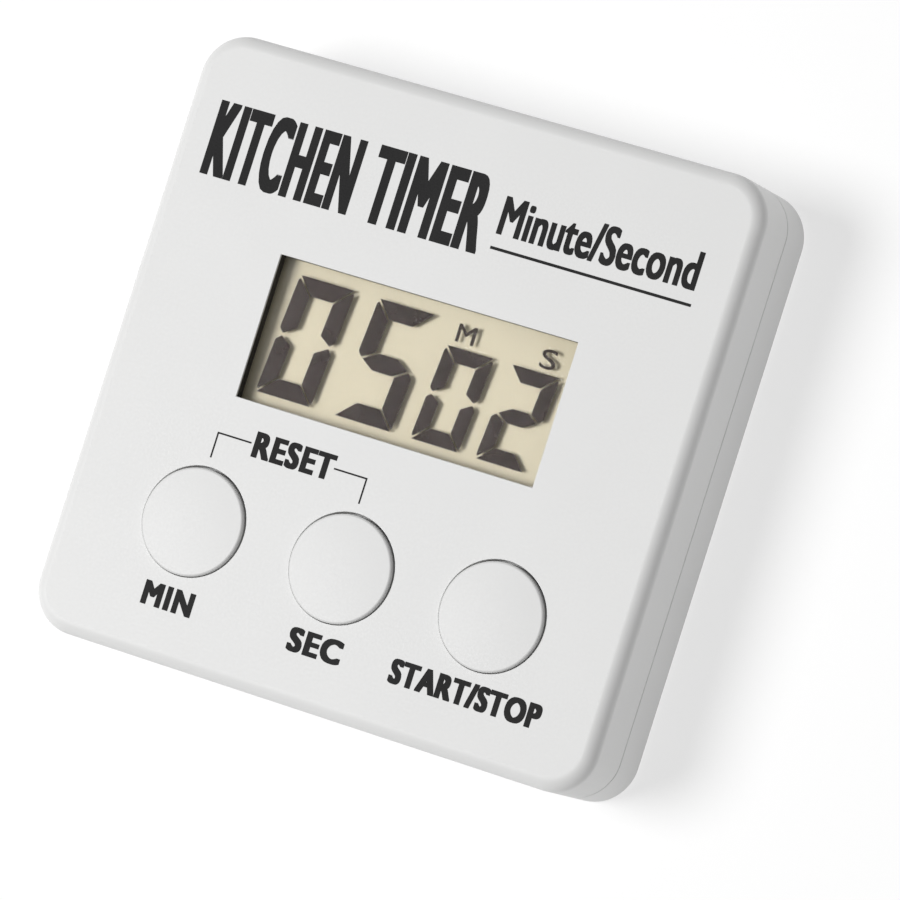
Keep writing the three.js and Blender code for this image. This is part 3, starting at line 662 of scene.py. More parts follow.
WHITE_PLASTIC = Finish("white_plastic", (0.765, 0.765, 0.76), 0.5, grain=0.25, depth=0.0015, drift=0.008)
BUTTON_PLASTIC = Finish("button_plastic", (0.73, 0.73, 0.725), 0.45, grain=0.2, depth=0.001, drift=0.006)
PRINT_INK = Finish("print_ink", (0.013, 0.0128, 0.013), 0.6, grain=0.15, depth=0.002, drift=0.2,
                   specular=0.15)
SEGMENT_INK = Finish("display_figures", (0.055, 0.04, 0.036), 0.6, grain=0.3, depth=0.0005, drift=0.12,
                     specular=0.1, alpha=0.87)
AnyFinish = Finish | ClearGlass | DisplayReflector | CircuitBoardFinish
OTHER_FINISHES: dict[str, AnyFinish] = {
    "black_plastic": Finish("black_plastic", (0.012, 0.012, 0.012), 0.6, grain=0.3, depth=0.004),
    "display_glass": ClearGlass(),
    "reflector": DisplayReflector(),
    "grey_rubber": Finish("grey_rubber", (0.22, 0.22, 0.22), 0.85, grain=0.1, depth=0.01, stretch=(6, 1, 1)),
    "black_rubber": Finish("black_rubber", (0.02, 0.02, 0.02), 0.8, grain=0.3, depth=0.006),
    "carbon": Finish("carbon", (0.014, 0.014, 0.014), 0.7, grain=0.1, depth=0.004),
    "board": CircuitBoardFinish(),
    "epoxy": Finish("epoxy", (0.01, 0.01, 0.01), 0.3, grain=1.2, depth=0.02, coat=0.4),
    "steel": Finish("steel", (0.5, 0.5, 0.51), 0.32, metallic=1, grain=0.4, depth=0.002, drift=0.08),
    "nickel": Finish("nickel", (0.62, 0.6, 0.56), 0.25, metallic=1, grain=0.5, depth=0.001, drift=0.05),
    "brass": Finish("brass", (0.6, 0.42, 0.14), 0.3, metallic=1, grain=0.5, depth=0.001, drift=0.08),
    "ceramic": Finish("ceramic", (0.72, 0.68, 0.58), 0.4, grain=0.2, depth=0.002),
    "copper": Finish("copper", (0.45, 0.17, 0.07), 0.35, metallic=1, grain=0.15, depth=0.02,
                     stretch=(0.2, 0.2, 3)),
    "ferrite": Finish("ferrite", (0.035, 0.035, 0.038), 0.5, metallic=0.4, grain=0.15, depth=0.01,
                      drift=0.15, stretch=(4, 0.4, 1)),
    "red_lead": Finish("red_lead", (0.42, 0.02, 0.015), 0.4, grain=0.5, depth=0.002),
    "black_lead": Finish("black_lead", (0.015, 0.015, 0.015), 0.4, grain=0.5, depth=0.002),
}


@dataclass
class Wardrobe:
    """Makes each finish once and keeps it."""

    made: dict[str, bpy.types.Material] = field(default_factory=dict)

    def get(self, finish: AnyFinish) -> bpy.types.Material:
        """Gives a finish's material, and builds it the first time.

        Args:
            finish: The finish wanted.

        Returns:
            Its material.
        """
        if finish.name not in self.made:
            self.made[finish.name] = finish.build()
        return self.made[finish.name]

    def dress_nodes(self) -> None:
        """Puts a finish on every CAD node, by the record's material slots."""
        by_slot = {"white_plastic": WHITE_PLASTIC, "button_plastic": BUTTON_PLASTIC, **OTHER_FINISHES}
        slots = {part["node"]: part["material_slot"] for part in frame["record"]["subparts"]}
        for name, node in frame["nodes"].items():
            material = self.get(by_slot[slots[name]])
            for slot in node.material_slots:
                slot.material = material


# ---------------------------------------------------------------------------------------------
# Case
# ---------------------------------------------------------------------------------------------

@dataclass
class Case:
    """The two white shells. Sizes are those of the frame's solids, in millimetres."""

    wardrobe: Wardrobe
    wall: float = 1.5
    corner: float = 4.7
    corner_steps: int = 16
    face_fillet: float = 1.4
    back_fillet: float = 0.8
    fillet_steps: int = 10
    groove: float = 0.06
    parting_edge: float = 0.15
    tongue_wall: float = 0.55
    tongue_rise: float = 1.0
    fit: float = 0.15
    edge: float = 0.08
    window: tuple[float, float] = (33.25, 14.9)
    window_middle: tuple[float, float] = (0.15, 3.8)
    hole_radius: float = 5.65
    cap_sag: float = 0.08
    post_radius: float = 3
    boss_radius: float = 1.9
    case_pilot: float = 0.95
    board_pilot: float = 0.85
    past_tip: float = 0.3
    guide_inner: float = 6.7
    guide_wall: float = 0.8
    guide_rise: float = 1.6

    @property
    def front(self) -> Extent:
        """The front shell's box."""
        return Extent.of("front_case")

    def blank(self, name: str, low: Vector, high: Vector) -> bpy.types.Object:
        """A block with the case's outline and rounded corners."""
        block = add_block(name, low, high)
        round_edges(block, upright, self.corner, self.corner_steps)
        return block

    def screw_places(self, kind: str) -> list[Vector]:
        """The middles of the four case screws or board screws."""
        return [Extent.of(f"{kind}_screw_{i}").centre for i in range(1, 5)]

    def button_places(self) -> list[Vector]:
        """The middles of the three button holes."""
        return [Extent.of(button.node).centre + Vector((0, self.cap_sag, 0)) for button in Button]

    def build_front(self) -> None:
        """Models the front shell: a rounded tray with window, button holes, posts and bosses."""
        low, high = self.front.low, self.front.high
        ceiling = high.z - self.wall
        shell = self.blank("front_shell", low, high)
        round_edges(shell, at_height(high.z), self.face_fillet, self.fillet_steps)
        round_edges(shell, at_height(low.z), self.parting_edge, 4)
        step_face(shell, facing_down(low.z), self.wall - self.parting_edge, ceiling - low.z)
        combine(shell, self.front_inside(ceiling, low.z), "UNION")
        combine(shell, self.front_holes(ceiling, high.z), "DIFFERENCE")
        combine(shell, [self.frame_pocket()], "DIFFERENCE")
        soften(shell, self.edge)
        smooth(shell)
        hand_over(shell, "case", "white_plastic", self.wardrobe.get(WHITE_PLASTIC), "front_case")

    def front_inside(self, ceiling: float, bottom: float) -> list[bpy.types.Object]:
        """The posts, bosses and guide rings under the face."""
        board = Extent.of("circuit_board").high.z
        sunk = self.wall / 3
        posts = [add_disc("post", self.post_radius, bottom, ceiling + sunk, p.x, p.y, 48)
                 for p in self.screw_places("case")]
        bosses = [add_disc("boss", self.boss_radius, board, ceiling + sunk, p.x, p.y, 32)
                  for p in self.screw_places("board")]
        guides = []
        for p in self.button_places():
            low = ceiling - self.guide_rise
            guide = add_disc("guide", self.guide_inner + self.guide_wall, low, ceiling + sunk, p.x, p.y)
            combine(guide, [add_disc("bore", self.guide_inner, low - 1, ceiling + 1, p.x, p.y)], "DIFFERENCE")
            guides.append(guide)
        return posts + bosses + guides

    def front_holes(self, ceiling: float, face: float) -> list[bpy.types.Object]:
        """Cutters for the window, the button holes and the screw holes."""
        (width, height), (x, y) = self.window, self.window_middle
        half = Vector((width / 2, height / 2, 0))
        window = add_block("window", Vector((x, y, ceiling - 1)) - half, Vector((x, y, face + 1)) + half)
        holes = [add_disc("hole", self.hole_radius, ceiling - 1, face + 1, p.x, p.y, 128)
                 for p in self.button_places()]
        for kind, radius, foot in (("case", self.case_pilot, self.front.low.z),
                                   ("board", self.board_pilot, Extent.of("circuit_board").high.z)):
            end = Extent.of(f"{kind}_screw_1").high.z + self.past_tip
            holes += [add_disc("pilot", radius, foot - 1, end, p.x, p.y, 32) for p in self.screw_places(kind)]
        return [window, *holes]

    def frame_pocket(self) -> bpy.types.Object:
        """Cutter for the pocket behind the window, which holds the display frame."""
        holder = Extent.of("display_frame")
        gap = Vector((self.fit, self.fit, 0))
        return add_block("pocket", holder.low - gap, holder.high + gap)

    def build_rear(self) -> None:
        """Models the rear shell: a rounded tray with its tongue and the features of the back."""
        outline = Extent.of("rear_case")
        low = outline.low
        rim = self.front.low.z - self.groove
        shell = self.blank("rear_shell", low, Vector((outline.high.x, outline.high.y, rim)))
        round_edges(shell, at_height(low.z), self.back_fillet, self.fillet_steps)
        round_edges(shell, at_height(rim), self.parting_edge, 4)
        outside = self.wall - self.tongue_wall - self.parting_edge
        step_face(shell, facing_up(rim), outside, self.tongue_rise + self.groove)
        top = rim + self.tongue_rise + self.groove
        step_face(shell, facing_up(top), self.tongue_wall, self.wall - top)
        for posts in BackFeatures(self).solids():
            combine(shell, posts, "UNION")
        for cutters in BackFeatures(self).cutters():
            combine(shell, cutters, "DIFFERENCE")
        soften(shell, self.edge)
        smooth(shell)
        hand_over(shell, "case", "white_plastic", self.wardrobe.get(WHITE_PLASTIC), "rear_case")


@dataclass
class BackFeatures:
    """What the rear shell carries: posts, stand recess, battery seat, magnet pocket, sounder ring."""

    case: Case
    gap: float = 0.35
    pocket_wall: float = 1.0
    seat_wall: float = 1.1
    seat_roof: float = 0.75
    well_radius: float = 6.1
    well_wall: float = 1.1
    neck_gap: float = 0.2
    lug_gap: float = 0.12
    lug_out: float = 0.85
    cover_disc: float = 1.4
    cell_room: float = 0.75
    well_roof: float = 0.6
    housing_side: float = 1.05
    neck_radius: float = 7.6
    lug_thickness: float = 0.6
    lug_width: float = 3.8
    unlock_angle: float = 50
    sound_hole: float = 0.7
    sound_ring: float = 3.2
    notch: tuple[float, float] = (10, 3.4)
    recess_corner: float = 0.8
    leg_half_width: float = 11
    pin_hole: float = 0.9
    pin_hole_end: float = 0.3
    hinge_up: float = 1.55
    barrel: float = 1.3
    head_height: float = 1.2
    head_gap: float = 0.2
    screw_bore: float = 1.2
    ring_wall: float = 0.8
    ring_over: float = 0.3
    ring_ledge: float = 1.05
    contact_gap: float = 0.3

    def solids(self) -> list[list[bpy.types.Object]]:
        """Solids to join to the tray, in groups that don't meet each other."""
        cover, cell = Extent.of("battery_cover"), Extent.of("button_cell")
        leg, magnet = Extent.of("stand_leg"), Extent.of("magnet_bar")
        x, y = cover.centre.xy
        floor = self.case.wall / 2
        seat_top = cover.high.z + self.lug_gap + self.seat_roof
        posts = [add_disc("post", self.case.post_radius, floor, self.case.front.low.z, p.x, p.y, 48)
                 for p in self.case.screw_places("case")]
        seat = add_disc("seat", self.groove_radius + self.seat_wall, floor, seat_top, x, y)
        well = add_disc("well", self.well_radius + self.well_wall, floor,
                        cell.high.z + self.cell_room + self.well_roof, x, y)
        wall = Vector((self.pocket_wall, self.pocket_wall, 0))
        side = leg.high.x + self.housing_side
        housing = add_block("housing", (-side, leg.low.y - self.notch[1] - 1, floor),
                            (side, self.hinge_end + 1, self.recess_roof + 1))
        box = add_block("magnet_box", Vector((*(magnet.low - wall).xy, floor)),
                        Vector((*(magnet.high + wall).xy, magnet.high.z + self.case.fit + 1)))
        return [posts, [seat], [well], [housing], [box], [self.sounder_ring(floor)]]

    @property
    def groove_radius(self) -> float:
        """How far the groove for the cover's lugs reaches."""
        return self.neck_radius + self.lug_out + self.neck_gap

    @property
    def hinge_end(self) -> float:
        """The recess's upper end, past the hinge barrel."""
        return Extent.of("stand_leg").high.y + self.gap

    @property
    def recess_roof(self) -> float:
        """The roof of the stand's recess."""
        return self.hinge_up + self.barrel + self.gap

    def sounder_ring(self, floor: float) -> bpy.types.Object:
        """The ring that holds the sounder's plate."""
        plate = Extent.of("sounder_plate")
        x, y = plate.centre.xy
        inner = plate.size.x / 2 + self.case.fit
        ring = add_disc("sounder_ring", inner + self.ring_wall, floor, plate.high.z + self.ring_over, x, y)
        for radius, low in ((inner, plate.low.z), (inner - self.ring_ledge, floor - 1)):
            combine(ring, [add_disc("bore", radius, low, plate.high.z + 1, x, y)], "DIFFERENCE")
        return ring

    def cutters(self) -> list[list[bpy.types.Object]]:
        """Solids to cut from the shell, in groups that don't meet each other."""
        cover, cell = Extent.of("battery_cover"), Extent.of("button_cell")
        x, y = cover.centre.xy
        disc_top = cover.low.z + self.cover_disc
        groove_low = cover.high.z - self.lug_thickness - self.lug_gap
        groove_top = cover.high.z + self.lug_gap
        groove = self.groove_radius
        ledge = self.neck_radius + self.neck_gap
        seat = add_disc("cover_seat", cover.size.y / 2 + self.neck_gap, -1, disc_top + self.lug_gap,
                        x, y, 128)
        return [
            [seat, self.stand_recess(), *self.screw_holes(), *self.sound_holes(), self.magnet_pocket()],
            [self.nail_notch(), self.pin_bore(), add_disc("ledge", ledge, 0, groove_top, x, y),
             *self.screw_bores()],
            [add_disc("groove", groove, groove_low, groove_top, x, y)],
            [add_disc("well", self.well_radius, 1, cell.high.z + self.cell_room, x, y)],
            [self.lug_entry(x, y, groove, disc_top, groove_top)],
            self.contact_slots(x, y),
        ]

    def stand_recess(self) -> bpy.types.Object:
        """Cutter for the recess that the stand folds into."""
        half = self.leg_half_width + self.gap
        recess = add_block("recess", (-half, Extent.of("stand_leg").low.y - self.gap, -1),
                           (half, self.hinge_end, self.recess_roof))
        round_edges(recess, upright, self.recess_corner, 6)
        return recess

    def nail_notch(self) -> bpy.types.Object:
        """Cutter for the notch past the stand's free end."""
        leg = Extent.of("stand_leg")
        half, length = self.notch[0] / 2, self.notch[1]
        notch = add_block("notch", (-half, leg.low.y - length, -1),
                          (half, leg.low.y + 1, self.recess_roof - self.pocket_wall / 2))
        round_edges(notch, upright, self.recess_corner, 6)
        return notch

    def pin_bore(self) -> bpy.types.Object:
        """Cutter for the two holes that the stand's pins turn in."""
        leg = Extent.of("stand_leg")
        reach = leg.high.x + self.pin_hole_end
        return add_rod("pin_bore", self.pin_hole, -reach, reach, leg.high.y - self.barrel, self.hinge_up)

    def screw_holes(self) -> list[bpy.types.Object]:
        """Cutters for the sunk seats of the case screws' heads."""
        screw = Extent.of("case_screw_1")
        radius, top = screw.size.x / 2 + self.head_gap, screw.low.z + self.head_height
        return [add_disc("sunk", radius, -1, top, p.x, p.y, 48) for p in self.case.screw_places("case")]

    def screw_bores(self) -> list[bpy.types.Object]:
        """Cutters for the clearance holes of the case screws."""
        return [add_disc("bore", self.screw_bore, 0.5, self.case.front.low.z + 1, p.x, p.y, 32)
                for p in self.case.screw_places("case")]

    def sound_holes(self) -> list[bpy.types.Object]:
        """Cutters for the sounder's seven holes."""
        x, y = Extent.of("sounder_plate").centre.xy
        places = [(x, y)] + [(x + self.sound_ring * math.cos(i * math.pi / 3),
                              y + self.sound_ring * math.sin(i * math.pi / 3)) for i in range(6)]
        return [add_disc("sound", self.sound_hole, -1, 2, hx, hy, 32) for hx, hy in places]

    def magnet_pocket(self) -> bpy.types.Object:
        """Cutter for the magnet's pocket."""
        magnet = Extent.of("magnet_bar")
        gap = Vector((self.case.fit, self.case.fit, 0))
        low, high = magnet.low - gap, magnet.high + gap
        return add_block("magnet_pocket", (low.x, low.y, -1), (high.x, high.y, magnet.high.z + self.case.fit))

    def lug_entry(self, x: float, y: float, reach: float, low: float, high: float) -> bpy.types.Object:
        """Cutter for the two slots that let the cover's lugs in."""
        half = self.lug_width / 2
        entry = add_block("entry", (x - reach, y - half, low), (x + reach, y + half, high))
        with editing(entry):
            bpy.ops.mesh.select_all(action="SELECT")
            bpy.ops.transform.rotate(value=math.radians(self.unlock_angle), orient_axis="Z",
                                     center_override=(x, y, 0))
        return entry

    def contact_slots(self, x: float, y: float) -> list[bpy.types.Object]:
        """Cutters for the slots that the two contacts pass through."""
        positive, negative = Extent.of("positive_contact"), Extent.of("negative_contact")
        gap = self.contact_gap
        return [
            add_block("positive_slot", (positive.low.x - 1, positive.low.y - gap, positive.low.z - gap),
                      (x - self.well_radius + 0.5, positive.high.y + gap, positive.high.z + gap)),
            add_block("negative_slot", (negative.low.x - gap, negative.low.y - 1, negative.low.z),
                      (negative.high.x + gap, y - self.well_radius + 0.5, negative.high.z + gap)),
        ]


# ---------------------------------------------------------------------------------------------
# Buttons
# ---------------------------------------------------------------------------------------------

@dataclass
class PushButton:
    """One push button: a slightly domed cap on a flange, with a plunger under it."""

    which: Button
    wardrobe: Wardrobe
    cap_radius: float = 5.5
    flange: float = 0.8
    flange_drop: float = 0.1
    edge: float = 0.24
    edge_steps: int = 8
    dome: float = 0.1
    dome_rings: int = 5
    plunger: float = 2.0
    case_wall: float = 1.5

    def build(self) -> None:
        """Models the button and hands it over."""
        box = Extent.of(self.which.node)
        top_of_flange = Extent.of("front_case").high.z - self.case_wall - self.flange_drop
        flange_low = top_of_flange - self.flange
        radius = box.size.x / 2
        cap = add_disc(f"{self.which.value}_cap", radius, flange_low, top_of_flange, *box.centre.xy, 128)
        edge_top = box.high.z - self.dome
        step_face(cap, facing_up(top_of_flange), radius - self.cap_radius, edge_top - top_of_flange)
        step_face(cap, facing_down(flange_low), radius - self.plunger, box.low.z - flange_low)
        round_edges(cap, at_height(edge_top), self.edge, self.edge_steps)
        self.raise_dome(cap, edge_top)
        soften(cap, 0.06, angle=50)
        smooth(cap, 40)
        hand_over(cap, self.which.node, "button_plastic", self.wardrobe.get(BUTTON_PLASTIC),
                  self.which.node)

    def raise_dome(self, cap: bpy.types.Object, edge_top: float) -> None:
        """Domes the cap's flat top ring by ring.

        Args:
            cap: The cap with a flat top.
            edge_top: The flat top's height.
        """
        flat = self.cap_radius - self.edge
        step = flat / (self.dome_rings + 0.5)
        height = edge_top
        for ring in range(1, self.dome_rings + 1):
            reach = 1 - ring * step / flat
            target = edge_top + self.dome * (1 - reach ** 2)
            with editing(cap):
                pick_faces(cap, facing_up(height))
                bpy.ops.mesh.inset(thickness=step, depth=0)
                bpy.ops.transform.translate(value=(0, 0, target - height))
            height = target


@dataclass
class RubberDome:
    """The hollow rubber dome under one button, which in the real timer flattens as the button goes down; here
    it is modelled at rest and stays so.
    """

    which: Button
    wardrobe: Wardrobe
    wall: float = 0.4
    base_radius: float = 3.4
    top_radius: float = 2.4
    travel: float = 0.8

    def taper(self, dome: bpy.types.Object, test: FaceTest, middle: Vector, share: float) -> None:
        """Draws a round face in towards its middle."""
        with editing(dome):
            pick_faces(dome, test)
            bpy.ops.transform.resize(value=(share, share, 1), center_override=middle)

    def build(self) -> None:
        """Models the dome with its foot and hollow, and hands it over."""
        box = Extent.of(self.which.dome)
        middle = box.centre
        foot, top = box.low.z + self.wall, box.high.z
        ceiling = top - self.wall
        radius = box.size.x / 2
        dome = add_disc(f"{self.which.value}_rubber_dome", radius, box.low.z, foot, *middle.xy)
        step_face(dome, facing_up(foot), radius - self.base_radius, top - foot)
        self.taper(dome, facing_up(top), middle, self.top_radius / self.base_radius)
        hollow = self.base_radius - self.wall
        step_face(dome, facing_down(box.low.z), radius - hollow, ceiling - box.low.z)
        self.taper(dome, facing_down(ceiling), middle, (self.top_radius - self.wall) / hollow)
        soften(dome, 0.06)
        smooth(dome)
        hand_over(dome, "case", "black_rubber", self.wardrobe.get(OTHER_FINISHES["black_rubber"]),
                  self.which.dome)
        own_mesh(dome)


# ---------------------------------------------------------------------------------------------
# Display
# ---------------------------------------------------------------------------------------------

@dataclass(frozen=True)
class Cut:
    """A plane that trims a plate: what lies on its normal's side goes."""

    x: float
    y: float
    normal_x: float
    normal_y: float


def trimmed_plate(name: str, low: Point, high: Point, cuts: Sequence[Cut]) -> bpy.types.Object:
    """A thin plate trimmed by upright planes.

    Args:
        name: The plate's name.
        low: Its lowest corner before trimming.
        high: Its highest corner before trimming.
        cuts: The planes.

    Returns:
        The plate.
    """
    plate = add_block(name, low, high)
    for cut in cuts:
        with editing(plate):
            bpy.ops.mesh.select_all(action="SELECT")
            bpy.ops.mesh.bisect(plane_co=(cut.x, cut.y, 0), plane_no=(cut.normal_x, cut.normal_y, 0),
                                use_fill=True, clear_outer=True)
    return plate


class Segment(Enum):
    """The seven bars of a figure."""

    TOP = "top"
    MIDDLE = "middle"
    BOTTOM = "bottom"
    UPPER_LEFT = "upper_left"
    UPPER_RIGHT = "upper_right"
    LOWER_LEFT = "lower_left"
    LOWER_RIGHT = "lower_right"


FIGURES: dict[str, tuple[Segment, ...]] = {
    "0": (Segment.TOP, Segment.BOTTOM, Segment.UPPER_LEFT, Segment.UPPER_RIGHT,
          Segment.LOWER_LEFT, Segment.LOWER_RIGHT),
    "2": (Segment.TOP, Segment.MIDDLE, Segment.BOTTOM, Segment.UPPER_RIGHT, Segment.LOWER_LEFT),
    "5": (Segment.TOP, Segment.MIDDLE, Segment.BOTTOM, Segment.UPPER_LEFT, Segment.LOWER_RIGHT),
}


@dataclass(frozen=True)
class Figure:
    """One seven-bar figure: its place at the foot, its size and its bars' width."""

    name: str
    shown: str
    left: float
    bottom: float
    width: float
    height: float
    bar: float
    gap: float = 0.13
    slant: float = math.radians(4.1)
    film: float = 0.02
    tip_in: float = 0.28
    tip_slope: float = 0.62
    inner_slope: float = 1.3

    def mirrored(self, cuts: Sequence[Cut], flip_x: bool, flip_y: bool) -> list[Cut]:
        """Mirrors trimming planes about the figure's middle."""
        w, h = self.width, self.height
        return [Cut(w - c.x if flip_x else c.x, h - c.y if flip_y else c.y,
                    -c.normal_x if flip_x else c.normal_x, -c.normal_y if flip_y else c.normal_y)
                for c in cuts]

    def upright_bar(self, right: bool, lower: bool) -> bpy.types.Object:
        """One of the four upright bars."""
        w, h, t, g = self.width, self.height, self.bar, self.gap
        tip = self.tip_in * t
        middle = h / 2 + g
        cuts = [Cut(g, h - 2 * g, 1, 1), Cut(0, h - 2.4 * g - 0.1 * t, -1.2, 1),
                Cut(tip, middle, self.tip_slope, -1), Cut(tip, middle, -self.inner_slope, -1)]
        low = [0, h / 2, 0]
        high = [t, h, self.film]
        if right:
            low[0], high[0] = w - t, w
        if lower:
            low[1], high[1] = 0, h / 2
        return trimmed_plate("bar", tuple(low), tuple(high), self.mirrored(cuts, right, lower))

    def level_bar(self, bottom: bool) -> bpy.types.Object:
        """The top or the bottom bar."""
        w, h, t, g = self.width, self.height, self.bar, self.gap
        cuts = [Cut(2 * g, h - g, -1, -1), Cut(w - 2 * g, h - g, 1, -1)]
        low, high = [g, h - t, 0], [w - g, h, self.film]
        if bottom:
            low[1], high[1] = 0, t
        return trimmed_plate("bar", tuple(low), tuple(high), self.mirrored(cuts, False, bottom))

    def middle_bar(self) -> bpy.types.Object:
        """The bar across the middle, pointed at both ends."""
        w, h, t, g = self.width, self.height, self.bar, self.gap
        tip = self.tip_in * t + 1.4 * g
        cuts = [Cut(tip, h / 2, -self.tip_slope, side) for side in (1, -1)]
        cuts += self.mirrored(cuts, True, False)
        return trimmed_plate("bar", (tip, h / 2 - t / 2, 0), (w - tip, h / 2 + t / 2, self.film), cuts)

    def bar_of(self, segment: Segment) -> bpy.types.Object:
        """Models one bar of the figure."""
        if segment in (Segment.TOP, Segment.BOTTOM):
            return self.level_bar(segment is Segment.BOTTOM)
        if segment is Segment.MIDDLE:
            return self.middle_bar()
        return self.upright_bar(segment.value.endswith("right"), segment.value.startswith("lower"))

    def build(self, height: float) -> bpy.types.Object:
        """Models the whole figure, slanted and in place.

        Args:
            height: The film's height above the back, in millimetres.

        Returns:
            The figure as one object.
        """
        figure = gather(self.name, [self.bar_of(segment) for segment in FIGURES[self.shown]])
        lean = Matrix(((1, math.tan(self.slant), 0, 0), (0, 1, 0, 0), (0, 0, 1, 0), (0, 0, 0, 1)))
        figure.data.transform(Matrix.Translation((self.left, self.bottom, height)) @ lean)
        return figure


@dataclass
class Display:
    """The display's glass, and the figures and marks inside it."""

    wardrobe: Wardrobe
    film_rise: float = 0.58
    off_reflector: float = 0.02
    ground_edge: float = 0.12
    figures: tuple[Figure, ...] = (
        Figure("figure_tens_of_minutes", "0", -15.34, -2.5, 6.3, 12.4, 1.8),
        Figure("figure_minutes", "5", -6.4, -2.5, 6.45, 12.4, 1.8),
        Figure("figure_tens_of_seconds", "0", 2.2, -2.5, 5.4, 9.9, 1.5),
        Figure("figure_seconds", "2", 9.45, -2.5, 5.4, 9.9, 1.5),
    )

    def build_glass(self) -> None:
        """Models the glass with ground edges, just clear of the reflector under it."""
        box = Extent.of("display_glass")
        glass = add_block("display_window_glass", box.low + Vector((0, 0, self.off_reflector)), box.high)
        round_edges(glass, at_height(box.high.z), self.ground_edge, 1)
        smooth(glass, 30)
        hand_over(glass, "case", "display_glass", self.wardrobe.get(OTHER_FINISHES["display_glass"]),
                  "display_glass")

    def build(self) -> None:
        """Models the figures and the two marks."""
        self.build_glass()
        height = Extent.of("display_reflector").high.z + self.film_rise
        material = self.wardrobe.get(SEGMENT_INK)
        for figure in self.figures:
            hand_over(figure.build(height), "case", "black_plastic", material)
        marks = (Lettering("mark_minutes", "M", 3.62, 7.98, 5.66, 9.82, 0.03, 0.01),
                 Lettering("mark_seconds", "S", 12.93, 7.88, 14.66, 9.88, 0.01, 0.01))
        for mark in marks:
            hand_over(mark.build(height), "case", "black_plastic", material)


# ---------------------------------------------------------------------------------------------
# Lettering
# ---------------------------------------------------------------------------------------------

@dataclass(frozen=True)
class Lettering:
    """A word in the plain built-in letters, made heavier and stretched to fill a rectangle."""

    name: str
    words: str
    left: float
    bottom: float
    right: float
    top: float
    heavier_x: float = 0.1
    heavier_y: float = 0.06
    spacing: float = 1.0
    film: float = 0.02
    doublings: int = 3

    def build(self, height: float) -> bpy.types.Object:
        """Models the word as a thin film.

        Args:
            height: The film's underside above the back, in millimetres.

        Returns:
            The word as a mesh object.
        """
        word = self.plain_word()
        low = Vector([min(v.co[axis] for v in word.data.vertices) for axis in range(3)])
        high = Vector([max(v.co[axis] for v in word.data.vertices) for axis in range(3)])
        corner = Vector((self.left + self.heavier_x, self.bottom + self.heavier_y, height))
        room = Vector((self.right - self.heavier_x, self.top - self.heavier_y, height + self.film)) - corner
        stretch = Matrix.Diagonal((*(room[axis] / (high - low)[axis] for axis in range(3)), 1))
        word.data.transform(Matrix.Translation(corner) @ stretch @ Matrix.Translation(-low))
        self.thicken(word)
        return word

    def plain_word(self) -> bpy.types.Object:
        """The word as a closed mesh, at the letters' own size."""
        bpy.ops.object.select_all(action="DESELECT")
        bpy.ops.object.text_add()
        text = bpy.context.object
        text.data.body = self.words
        text.data.extrude = 0.5
        text.data.resolution_u = 5
        text.data.space_character = self.spacing
        bpy.ops.object.convert(target="MESH")
        word = named(self.name)
        with editing(word):
            bpy.ops.mesh.select_all(action="SELECT")
            bpy.ops.mesh.remove_doubles(threshold=1e-4)
            bpy.ops.mesh.normals_make_consistent(inside=False)
        return word

    def thicken(self, word: bpy.types.Object) -> None:
        """Thickens the strokes by joining the word with itself, set apart twice as far each time."""
        for axis, reach in enumerate((self.heavier_x, self.heavier_y)):
            step = Vector((0, 0, 0))
            step[axis] = reach / (2 ** self.doublings - 1)
            for _ in range(self.doublings):
                moved = bpy.data.objects.new("stroke", word.data.copy())
                bpy.context.collection.objects.link(moved)
                moved.data.transform(Matrix.Translation(step))
                word.data.transform(Matrix.Translation(-step))
                apply_modifier(word, "BOOLEAN", operation="UNION", object=moved, solver="MANIFOLD")
                bpy.data.objects.remove(moved)
                step *= 2


# ---------------------------------------------------------------------------------------------
# Print on the face
# ---------------------------------------------------------------------------------------------

